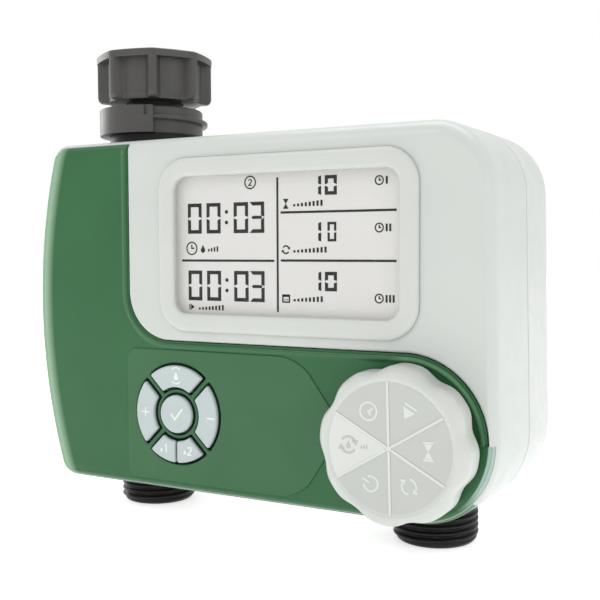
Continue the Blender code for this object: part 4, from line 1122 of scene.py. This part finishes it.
def keypad_plate():
    soft = 0.3 * MM
    stations = rounding(PLATE_FRONT, PLATE_FRONT + soft, 4) + [(PLATE_BACK, 0)]
    plate = loft(lambda inset: plate_outline(-inset), stations)
    outlines = [outline for name, outline in KEY_OUTLINES.items() if "zone" not in name]
    outlines.append(lambda grow: key_sector(5 * EIGHTH, 7 * EIGHTH, grow))
    wide, narrow = 0.95 * MM, 0.7 * MM
    mouth = [(-FAR, wide), (PLATE_FRONT, wide), (PLATE_FRONT + soft, narrow), (FAR, narrow)]
    for outline in outlines:
        cut(plate, loft(outline, mouth))
    piece(plate, "keypad_surround", GREEN, "case", ["keypad_plate"])

    # Painted shade: the walls of the key holes take the dark groove colour.
    def in_shaded_key_hole(face):
        reach = math.hypot(face.center.x - KEYPAD.x, face.center.z - KEYPAD.z)
        return reach < KEY_OUTER + 1.5 * MM and face.normal.y > -0.5

    recoloured(plate, GROOVE_PAINTED_SHADE, in_shaded_key_hole)


def key(name):
    """A key with a softly rounded, slightly crowned top."""
    outline = KEY_OUTLINES[name]
    stations = rounding(KEY_FRONT, KEY_FRONT + KEY_SOFT)
    stations += [(KEY_FRONT + KEY_SKIRT_DEPTH, 0), (FLANGE_FRONT + FLANGE_GAP, 0)]
    shape = loft(lambda inset: outline(-inset), stations)
    flange = 0.2 * MM if "zone" in name else 0.5 * MM
    join(shape, loft(lambda inset: outline(flange), [(FLANGE_FRONT, 0), (KEY_BACK, 0)]))
    piece(shape, name + "_cap", KEYS, name + "_key", [name])
    # Painted shade: the key's side below its top takes the dark groove colour.
    recoloured(shape, GROOVE_PAINTED_SHADE, lambda face: face.center.y > KEY_FRONT + KEY_SKIRT_DEPTH)


def key_marks():
    """Raised pale symbols on the keys."""
    at_radius = 12.4 * MM
    places = {
        "button_manual": QUARTER, "button_plus": math.pi, "button_minus": 0.0,
        "button_zone_1": math.radians(248), "button_zone_2": math.radians(292), "button_ok": None,
    }
    for name, angle in places.items():
        marks = Marks(KEY_FRONT - 0.04 * MM, KEY_FRONT + 0.1 * MM)
        reach = 0 if angle is None else at_radius
        x = KEYPAD.x + 0.4 * MM + reach * math.cos(angle or 0)
        z = KEYPAD.z + reach * math.sin(angle or 0)
        if name == "button_manual":
            draw_drop(marks.at(x, z + 0.1 * MM, 1.3 * MM))
            marks.at(x, z + 0.3 * MM, MM)
            marks.line(arc(0, 0.5, 2.1, math.radians(40), math.radians(140), 10), 0.4)
            marks.line(arc(0, -0.5, 2.1, math.radians(220), math.radians(320), 10), 0.4)
        elif name == "button_plus":
            marks.at(x, z, MM)
            marks.box(-1.5, -0.22, 1.5, 0.22)
            marks.box(-0.22, 0.22, 0.22, 1.5)
            marks.box(-0.22, -1.5, 0.22, -0.22)
        elif name == "button_minus":
            marks.at(x + 0.9 * MM, z - 0.3 * MM, MM).box(-1.5, -0.25, 1.5, 0.25)
        elif name == "button_ok":
            draw_tick(marks.at(x, z, 2.6 * MM), 0.24)
        else:
            draw = draw_one if name == "button_zone_1" else draw_two
            draw(marks.at(x + 0.4 * MM, z, 1.35 * MM), 0.36)
            draw_drop(marks.at(x - 1.5 * MM, z - 0.5 * MM, 0.75 * MM))
        marks.done(name + "_symbol", KEY_PRINT, name + "_key")


# ---------------------------------------------------------------- selector


def knob_radius(angle, inset=0.0):
    depth = KNOB_NOTCH * ((1 + math.cos(KNOB_LOBES * (angle - KNOB_NOTCH_ANGLE))) / 2) ** 2
    return KNOB_RADIUS - inset - depth


def knob_ring(y, share, inset=0.0):
    """A ring between the face disc, at share 0, and the lobed edge, at share 1."""
    ring = []
    for step in range(KNOB_STEPS):
        angle = 2 * math.pi * step / KNOB_STEPS
        radius = KNOB_FACE_RADIUS + (knob_radius(angle, inset) - KNOB_FACE_RADIUS) * share
        ring.append((KNOB.x + radius * math.cos(angle), y, KNOB.z + radius * math.sin(angle)))
    return ring


def knob():
    """Lobed knob whose shoulder swells from a flat face disc to the edge."""
    shoulder = 4.4 * MM
    hollow, boss = 19 * MM, 6 * MM

    def plain(radius, y):
        return ring_points("Y", KNOB, radius, y, KNOB_STEPS)

    rings = [plain(KNOB_FACE_RADIUS - 0.7 * MM, KNOB_FACE)]
    rings.append(plain(KNOB_FACE_RADIUS - 0.25 * MM, KNOB_FACE - 0.12 * MM))
    for step in range(15):
        turn = QUARTER * step / 14
        rings.append(knob_ring(KNOB_FRONT + TINY + shoulder * (1 - math.cos(turn)), math.sin(turn)))
    rings.append(knob_ring(KNOB_BACK - 0.4 * MM, 1))
    rings.append(knob_ring(KNOB_BACK, 1, 0.4 * MM))
    rings.append(plain(hollow + 0.6 * MM, KNOB_BACK))
    rings.append(plain(hollow, KNOB_BACK - MM))
    rings.append(plain(hollow, KNOB_FRONT + 2.4 * MM))
    shape = skin(rings)
    join(shape, rod(boss, KNOB_FRONT + 2 * MM, KNOB_BACK, KNOB, "Y"))
    cut(shape, rod(2.9 * MM, KNOB_FRONT + 3.5 * MM, FAR, KNOB, "Y"))
    piece(shape, "selector_dial", KNOB_RIM, "selector", ["selector_knob"])


def sector_points(start, end, inner_gap, radius):
    """A pie slice about the origin, set back from its two straight sides."""
    half = (end - start) / 2
    apex = inner_gap / math.sin(half)
    edge = math.asin(inner_gap / radius)
    tip = (apex * math.cos(start + half), apex * math.sin(start + half))
    return [tip] + arc(0, 0, radius, start + edge, end - edge, 20)


def knob_face():
    """Six slices between raised lines; the pointer slice is lighter and stands higher."""
    face = KNOB_FACE
    sixth = math.pi / 3
    panels = Marks(face - 0.06 * MM, face + TINY)
    pointer = Marks(face - 0.2 * MM, face + TINY)
    lines = Marks(face - 0.22 * MM, face + TINY)
    for number in range(6):
        centre = number * sixth + FACE_TURN
        marks = pointer if number == 3 else panels
        marks.at(KNOB.x, KNOB.z, MM)
        marks.fill(sector_points(centre - sixth / 2, centre + sixth / 2, 0.4, 18.3))
        lines.at(KNOB.x, KNOB.z, MM, centre + sixth / 2).box(0.8, -0.36, 18.5, 0.36)
    lines.at(KNOB.x, KNOB.z, MM).disc(0, 0, 0.79, 12)
    panels.done("dial_panels", KNOB_PANEL, "selector")
    pointer.done("dial_pointer", KNOB_POINTER, "selector")
    lines.done("dial_lines", KNOB_PRINT, "selector")
    icons = (draw_hourglass, draw_play, draw_clock, None, draw_power, draw_cycle)
    prints = Marks(face - 0.14 * MM, face)
    icon_reach = 11.6 * MM
    for number, icon in enumerate(icons):
        if icon is None:
            continue
        angle = number * sixth + FACE_TURN
        place = (KNOB.x + icon_reach * math.cos(angle), KNOB.z + icon_reach * math.sin(angle))
        icon(prints.at(*place, 2.5 * MM, angle - math.pi), 0.24)
    prints.done("dial_symbols", KNOB_PRINT, "selector")
    auto = Marks(face - 0.26 * MM, face - 0.1 * MM)
    draw_cycle(auto.at(KNOB.x - 12.2 * MM, KNOB.z, 2.7 * MM), 0.26)
    draw_drop(auto.at(KNOB.x - 12.2 * MM, KNOB.z, 1.1 * MM))
    draw_bars(auto.at(KNOB.x - 8.4 * MM, KNOB.z - 0.1 * MM, 0.8 * MM), 3, 1.0)
    auto.done("dial_pointer_symbol", POINTER_PRINT, "selector")


# ---------------------------------------------------------------- inlet

# Angles from a corner to the next, in degrees, close together where the nut's shape turns.
NUT_TURNS = (
    0, 1.4, 2.6, 3.4, 4.2, 5.2, 6.4, 7.6, 8.6, 9.4, 11, 13.5, 16.5, 19.5, 22.5,
    25.5, 28.5, 31.5, 34, 35.6, 36.4, 37.4, 38.6, 39.8, 40.8, 41.6, 42.4, 43.6,
)


def nut_ring(kind, inset, foot=0.0):
    """Points round the nut: a plain octagon for its rim, or ribs with sunk panels between them."""
    points = []
    flat = (NUT_RADIUS - inset) * math.cos(math.pi / NUT_SIDES)
    rib = NUT_RADIUS - 0.4 * MM - inset - foot
    panel = NUT_PANEL - min(foot, 0.25 * MM)
    for corner in range(NUT_SIDES):
        for degrees in NUT_TURNS:
            radius = flat / math.cos(math.radians(degrees - 22.5))
            radius += (NUT_RADIUS - inset - radius) * NUT_RIM_ROUND
            from_corner = min(degrees, 45 - degrees)
            if kind == "ribs":
                share = min(1, max(0, (from_corner - 3) / 6.2))
                ease = share * share * (3 - 2 * share)
                outer = rib - 0.03 * MM * from_corner
                radius = outer + (panel - outer) * ease
            elif from_corner < 2:
                radius -= 0.15 * MM
            angle = NUT_CORNER_ANGLE + 2 * math.pi * corner / NUT_SIDES + math.radians(degrees)
            points.append((radius * math.cos(angle), radius * math.sin(angle)))
    return points


def inlet_nut():
    """Octagonal nut: a rim on ribs, sunk panels between them, and a rounded lower end."""
    rim_low = NUT_TOP - NUT_RIM
    foot = 2.2 * MM
    rings = []
    for step in range(9):
        turn = QUARTER * step / 8
        narrow = 1.5 * MM * (1 - math.sin(turn))
        rings.append((NUT_BOTTOM + foot * (1 - math.cos(turn)), "ribs", 0, narrow))
    rings.append((rim_low - 0.5 * MM, "ribs", 0, 0))
    rings.append((rim_low - 0.05 * MM, "ribs", -0.2 * MM, 0))
    rings.append((rim_low, "rim", 0.15 * MM, 0))
    for drop, inset in ((1.35, 0), (0.7, 0), (0.36, 0.08), (0.12, 0.28), (0, 0.6)):
        rings.append((NUT_TOP - drop * MM, "rim", inset * MM, 0))
    points = []
    for z, kind, inset, narrow in rings:
        points.append([(INLET.x + x, INLET.y + y, z) for x, y in nut_ring(kind, inset, narrow)])
    nut = skin(points)
    mouth = (
        (NUT_BORE, NUT_BOTTOM + 3.8 * MM), (NUT_BORE, NUT_TOP - 0.8 * MM),
        (NUT_BORE + MM, NUT_TOP + 0.2 * MM), (NUT_BORE + MM, FAR * 2),
    )
    spigot_hole = rod(10.1 * MM, NUT_BOTTOM - 5 * MM, NUT_TOP, INLET)
    cut(nut, turned(mouth, INLET, "Z", 96, False), spigot_hole)
    piece(nut, "swivel_nut", CHARCOAL, "nut", ["inlet_nut"], sharp=20)
    thread_low, thread_high = NUT_BOTTOM + 5.4 * MM, NUT_TOP - 2 * MM
    thread = helix_band(INLET, NUT_BORE + 0.1 * MM, 0.9 * MM, thread_low, thread_high, 1.8 * MM)
    piece(thread, "swivel_nut_thread", CHARCOAL, "nut", sharp=50)


def helix_band(place, wall, depth, low, high, pitch):
    """A triangular thread that winds up inside a bore."""
    per_turn = 72
    turns = (high - low) / pitch
    count = int(per_turn * turns)
    rings = []
    for step in range(count + 1):
        angle = 2 * math.pi * step / per_turn
        z = low + (high - low) * step / count
        share = min(1, step / 18, (count - step) / 18)
        half, root, crest = pitch * 0.32, wall + 0.1 * MM, wall - depth * max(share, 0.05)
        ring = []
        for radius, lift in ((root, -half), (crest, 0), (root, half)):
            ring.append((place.x + radius * math.cos(angle), place.y + radius * math.sin(angle), z + lift))
        rings.append(ring)
    return skin(rings)


def collar_sector(radius, start, end, inset):
    inner = 15 * MM
    trim = inset / radius
    points = arc(0, 0, radius - inset, start + trim, end - trim, 48)
    return points + arc(0, 0, inner, end - trim, start + trim, 24)


def inlet_collar():
    """Stepped ring below the nut: a thick stretch, and a slanting rib round the rest."""
    profile = [
        (COLLAR_CORE - 0.5 * MM, COLLAR_TOP), (COLLAR_CORE, COLLAR_TOP - 0.5 * MM),
        (COLLAR_CORE, COLLAR_LOW + 0.4 * MM), (COLLAR_CORE - 0.4 * MM, COLLAR_LOW),
        (COLLAR_NECK, COLLAR_LOW), (COLLAR_NECK, FOOT_TOP), (FOOT_RADIUS, FOOT_TOP),
        (FOOT_RADIUS, FOOT_BOTTOM), (10 * MM, FOOT_BOTTOM), (10 * MM, COLLAR_TOP),
    ]
    collar = turned(profile, INLET, "Z", 128)
    step_angle = NUT_CORNER_ANGLE
    soft = 0.4 * MM
    stations = [(COLLAR_LOW, soft), (COLLAR_LOW + soft * 0.3, soft * 0.3), (COLLAR_LOW + soft, 0)]
    stations += [(COLLAR_TOP - soft, 0), (COLLAR_TOP - soft * 0.3, soft * 0.3), (COLLAR_TOP, soft)]

    def thick(inset):
        return collar_sector(COLLAR_STEP, step_angle - math.radians(150), step_angle, inset)

    join(collar, stack(thick, stations, INLET))
    join(collar, collar_rib(step_angle))
    notch = block((-0.9 * MM, 0.9 * MM), (-0.6 * MM, 0.6 * MM), (136.3 * MM, 142 * MM))
    turn = Matrix.Rotation(step_angle - math.radians(7.4), 4, "Z")
    outwards = Matrix.Translation((COLLAR_STEP + 0.1 * MM, 0, 0))
    notch.data.transform(Matrix.Translation((INLET.x, INLET.y, 0)) @ turn @ outwards)
    cut(collar, notch)
    piece(collar, "stepped_collar", CHARCOAL, "case", ["inlet_collar"])
    # Painted shade: the faces at the collar's low end, its neck and foot, take the black colour of the
    # fittings, where shade falls under the collar.
    recoloured(collar, BLACK, lambda face: face.center.z < COLLAR_LOW + 0.2 * MM)


def collar_rib(start):
    """A rib that leaves the step high and falls a little on its way round."""
    rings = []
    count = 60
    for number in range(count + 1):
        share = number / count
        angle = start - math.radians(5) + math.radians(150) * share
        z = (135.9 - 1.5 * share) * MM
        ring = []
        for radius, lift in ((16.2, 0.8), (18.4, 0.8), (18.7, 0.5), (18.7, -0.5), (18.4, -0.8), (16.2, -0.8)):
            ring.append((
                INLET.x + radius * MM * math.cos(angle),
                INLET.y + radius * MM * math.sin(angle),
                z + lift * MM,
            ))
        rings.append(ring)
    return skin(rings)


# ---------------------------------------------------------------- outlets


def outlet(number):
    """Threaded outlet: a helical thread with rounded crests, a bevelled end and a bore."""
    place = middle(f"outlet_{number}")
    low, high = span(f"outlet_{number}", 2)
    thread_top, end_round = 17.4 * MM, 1.2 * MM
    around, rows = 112, 92
    rings = []
    for row in range(rows + 1):
        z = low + (thread_top - low) * row / rows
        ring = []
        for step in range(around):
            angle = 2 * math.pi * step / around
            phase = (z / THREAD_PITCH - angle / (2 * math.pi)) % 1
            crest = max(0.0, min(1.0, 1.75 * (1 - abs(2 * phase - 1)) - 0.35))
            run_in = max(0, (z - low - 0.7 * MM) / (1.2 * MM))
            run_out = max(0, (thread_top - 0.6 * MM - z) / MM)
            fade = min(1, run_in, run_out)
            radius = THREAD_ROOT + (THREAD_RADIUS - THREAD_ROOT) * crest * fade
            end = z - low
            if end < end_round:
                radius -= end_round - math.sqrt(max(0, end_round ** 2 - (end_round - end) ** 2))
            ring.append((place.x + radius * math.cos(angle), place.y + radius * math.sin(angle), z))
        rings.append(ring)
    bore, flange, neck = 9.5 * MM, 14 * MM, 11 * MM
    flange_low, flange_high = 17.6 * MM, 19.2 * MM
    tail = (
        (THREAD_ROOT, flange_low), (flange, flange_low), (flange, flange_high), (neck, flange_high),
        (neck, high), (bore, high), (bore, low + 0.8 * MM), (bore + 0.5 * MM, low + 0.2 * MM),
        (bore + MM, low),
    )
    for radius, z in tail:
        rings.append(ring_points("Z", place, radius, z, around))
    spout = skin(rings, closed=True)
    piece(spout, f"outlet_spout_{number}", BLACK, "case", [f"outlet_{number}"], sharp=50)


# ---------------------------------------------------------------- battery compartment


def battery_door():
    """Door panel with soft edges, grip grooves, a latch and its hinge pin."""
    back, inner = CASE_BACK, CASE_BACK - DOOR_THICKNESS
    barrel = DOOR_THICKNESS / 2
    pivot_z = DOOR_Z[0] + barrel
    z_range = (pivot_z, DOOR_Z[1])
    soft = 0.45 * MM
    stations = [(inner, 0)] + rounding(back, back - soft, 5)[::-1]
    door = loft(lambda inset: round_rect(DOOR_X, z_range, 2 * MM, -inset), stations)
    pin_x = span("battery_door", 0)
    place = Vector((0, back - barrel, pivot_z))
    join(door, rod(barrel - 0.01 * MM, pin_x[0], pin_x[1], place, "X", 32))
    edge = (DOOR_X[0] + 0.01 * MM, DOOR_X[1] - 0.01 * MM)
    join(door, block(edge, (inner + 0.01 * MM, back - 0.35 * MM), (pivot_z - 0.3 * MM, pivot_z + 3 * MM)))
    low, high = span("battery_tray", 2)
    latch_z = high - 2 * MM
    join(door, block((32 * MM, 42 * MM), (31 * MM, inner + 0.5 * MM), (latch_z - 1.2 * MM, latch_z)))
    centre, half = sum(DOOR_X) / 2, 8 * MM
    groove_x = (centre - half, centre + half)
    groove_y = [(back - 0.45 * MM, -0.2 * MM), (back + 0.1 * MM, 0.1 * MM)]
    for number in range(5):
        z = DOOR_Z[1] - (4 + 1.8 * number) * MM
        groove_z = (z - 0.6 * MM, z + 0.6 * MM)
        cut(door, loft(lambda inset: round_rect(groove_x, groove_z, 0.3 * MM, inset, 4), groove_y))
    piece(door, "battery_hatch", WHITE, "door", ["battery_door"])


def battery(number):
    """AA cell with a crimped button end."""
    low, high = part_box(f"battery_{number}")
    centre = (low + high) / 2
    half = (high.x - low.x) / 2
    side = 1 if number == 1 else -1
    radius = 7.25 * MM
    profile = ((2.4, 0), (2.7, 0.3), (2.75, 1.0), (6.2, 1.0), (6.4, 0.75), (6.75, 0.75), (7.05, 1.1))
    rings = [(r * MM, centre.x + side * (half - drop * MM)) for r, drop in profile]
    rings += [(radius, centre.x + side * (half - 1.6 * MM)), (radius, centre.x - side * (half - 0.5 * MM))]
    rings += [(6.9 * MM, centre.x - side * (half - 0.1 * MM)), (6.5 * MM, centre.x - side * half)]
    cell = turned(rings, centre, "X", 64, closed=False)
    sleeve = cell_sleeve(f"cell_sleeve_{number}", centre.x, side * half)
    piece(cell, f"aa_cell_{number}", sleeve, "case", [f"battery_{number}"])

    def bare_metal(face):
        at = side * (face.center.x - centre.x)
        if at > half - 0.8 * MM or at < -(half - 0.3 * MM):
            return True
        return at > half - 1.1 * MM and abs(face.normal.x) > 0.9

    recoloured(cell, STEEL, bare_metal)


def screw(number):
    """Case screw with a domed, cross-slotted head."""
    low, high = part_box(f"case_screw_{number}")
    centre = (low + high) / 2
    head = high.y
    under = head - 3.1 * MM
    profile = [
        (0.6 * SCREW_HEAD, head), (0.85 * SCREW_HEAD, head - 0.25 * MM), (SCREW_HEAD, head - 0.9 * MM),
        (SCREW_HEAD, under), (SCREW_SHANK, under), (SCREW_SHANK, low.y + 1.4 * MM), (0.3 * MM, low.y),
    ]
    shape = turned(profile, centre, "Y", 48, closed=False)
    for turn in (0, 1):
        half = (0.35 * MM, 1.7 * MM)
        x_half, z_half = half if turn else half[::-1]
        slot_x = (centre.x - x_half, centre.x + x_half)
        slot_z = (centre.z - z_half, centre.z + z_half)
        cut(shape, block(slot_x, (head - 1.4 * MM, head + MM), slot_z))
    piece(shape, f"screw_{number}", STEEL, "case", [f"case_screw_{number}"])


# ---------------------------------------------------------------- carried-over nodes

NODE_MATERIALS = {
    "lcd_panel": LCD, "lcd_backlight": LIGHT_GUIDE, "keypad_mat": RUBBER, "knob_seal": RUBBER,
    "inlet_washer": RUBBER, "pipe_seal": RUBBER, "outlet_seal": RUBBER, "diaphragm": RUBBER,
    "door_seal": RUBBER,
    "knob_spindle": MOULDED, "rotary_switch": MOULDED, "inlet_pipe": MOULDED, "valve_manifold": MOULDED,
    "bonnet": MOULDED, "main_board": BOARD, "inlet_spigot": BLACK, "battery_tray": BLACK,
    "filter_screen": STEEL, "solenoid_frame": STEEL, "plunger": STEEL, "contact_plate": STEEL,
    "contact_spring": SPRING_STEEL, "plunger_spring": SPRING_STEEL, "solenoid_coil": WINDING,
    "coil_lead": LEAD,
}


def finish_nodes():
    """Gives each CAD node that still shows its procedural material."""
    for name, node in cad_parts.items():
        if node.hide_render:
            continue
        found = [key for key in NODE_MATERIALS if name.startswith(key)]
        node.data.materials.clear()
        node.data.materials.append(NODE_MATERIALS[max(found, key=len)])
        node.data.shade_smooth()
        node.data.set_sharp_from_angle(angle=math.radians(32))


# ---------------------------------------------------------------- studio


def area_light(name, place, size, power):
    light = bpy.data.lights.new(name, "AREA")
    light.shape = "RECTANGLE"
    light.size, light.size_y = size
    light.energy = power
    obj = bpy.data.objects.new(name, light)
    obj.location = place
    obj.rotation_euler = (Vector(LAMP_TARGET) - Vector(place)).to_track_quat("-Z", "Y").to_euler()
    bpy.context.scene.collection.objects.link(obj)


LAMPS = {
    "key": ((-0.3, -0.6, 0.7), (0.25, 0.25), 0.9),
    "right": ((0.8, -0.1, 0.35), (0.4, 0.6), 0.5),
    "left": ((-0.9, 0.15, 0.3), (0.5, 0.5), 2.4),
    "top": ((0.0, 0.2, 0.9), (0.8, 0.3), 3.1),
}
LAMP_TARGET = (0, 0, 75 * MM)


def studio():
    scene = bpy.context.scene
    scene.view_settings.view_transform = "Standard"
    world = bpy.data.worlds.new("studio")
    world.use_nodes = True
    background = world.node_tree.nodes["Background"]
    background.inputs["Color"].default_value = (1.0, 1.0, 1.0, 1.0)
    background.inputs["Strength"].default_value = 1.0
    scene.world = world
    for name, (place, size, power) in LAMPS.items():
        area_light(name, place, size, power)
    shape = bmesh.new()
    bmesh.ops.create_grid(shape, x_segments=8, y_segments=8, size=3.0)
    floor = from_bmesh(shape, "studio_floor")
    floor.data.materials.append(FLOOR)


CAMERA_LENS = 56.7
CAMERA_PLACE = (157.2 * MM, -271.9 * MM, 90.7 * MM)
CAMERA_HEADING = math.radians(28.53)
CAMERA_DROP = math.radians(3.15)
CAMERA_ROLL = math.radians(-0.21)


def camera():
    data = bpy.data.cameras.new("camera")
    data.lens = CAMERA_LENS
    data.sensor_width = 36
    data.clip_start = 0.01
    obj = bpy.data.objects.new("camera", data)
    obj.location = CAMERA_PLACE
    look = Matrix.Rotation(CAMERA_HEADING, 4, "Z") @ Matrix.Rotation(QUARTER - CAMERA_DROP, 4, "X")
    obj.rotation_euler = (look @ Matrix.Rotation(CAMERA_ROLL, 4, "Z")).to_euler()
    bpy.context.scene.collection.objects.link(obj)
    bpy.context.scene.camera = obj


# ---------------------------------------------------------------- build

camera()
studio()
front_cover()
display_housing()
rear_shell()
bezel()
lens()
display_marks()
keypad_plate()
for key_name in KEY_OUTLINES:
    key(key_name)
key_marks()
knob()
knob_face()
inlet_nut()
inlet_collar()
for outlet_number in (1, 2):
    outlet(outlet_number)
battery_door()
for cell_number in (1, 2):
    battery(cell_number)
for screw_number in range(1, 5):
    screw(screw_number)
finish_nodes()
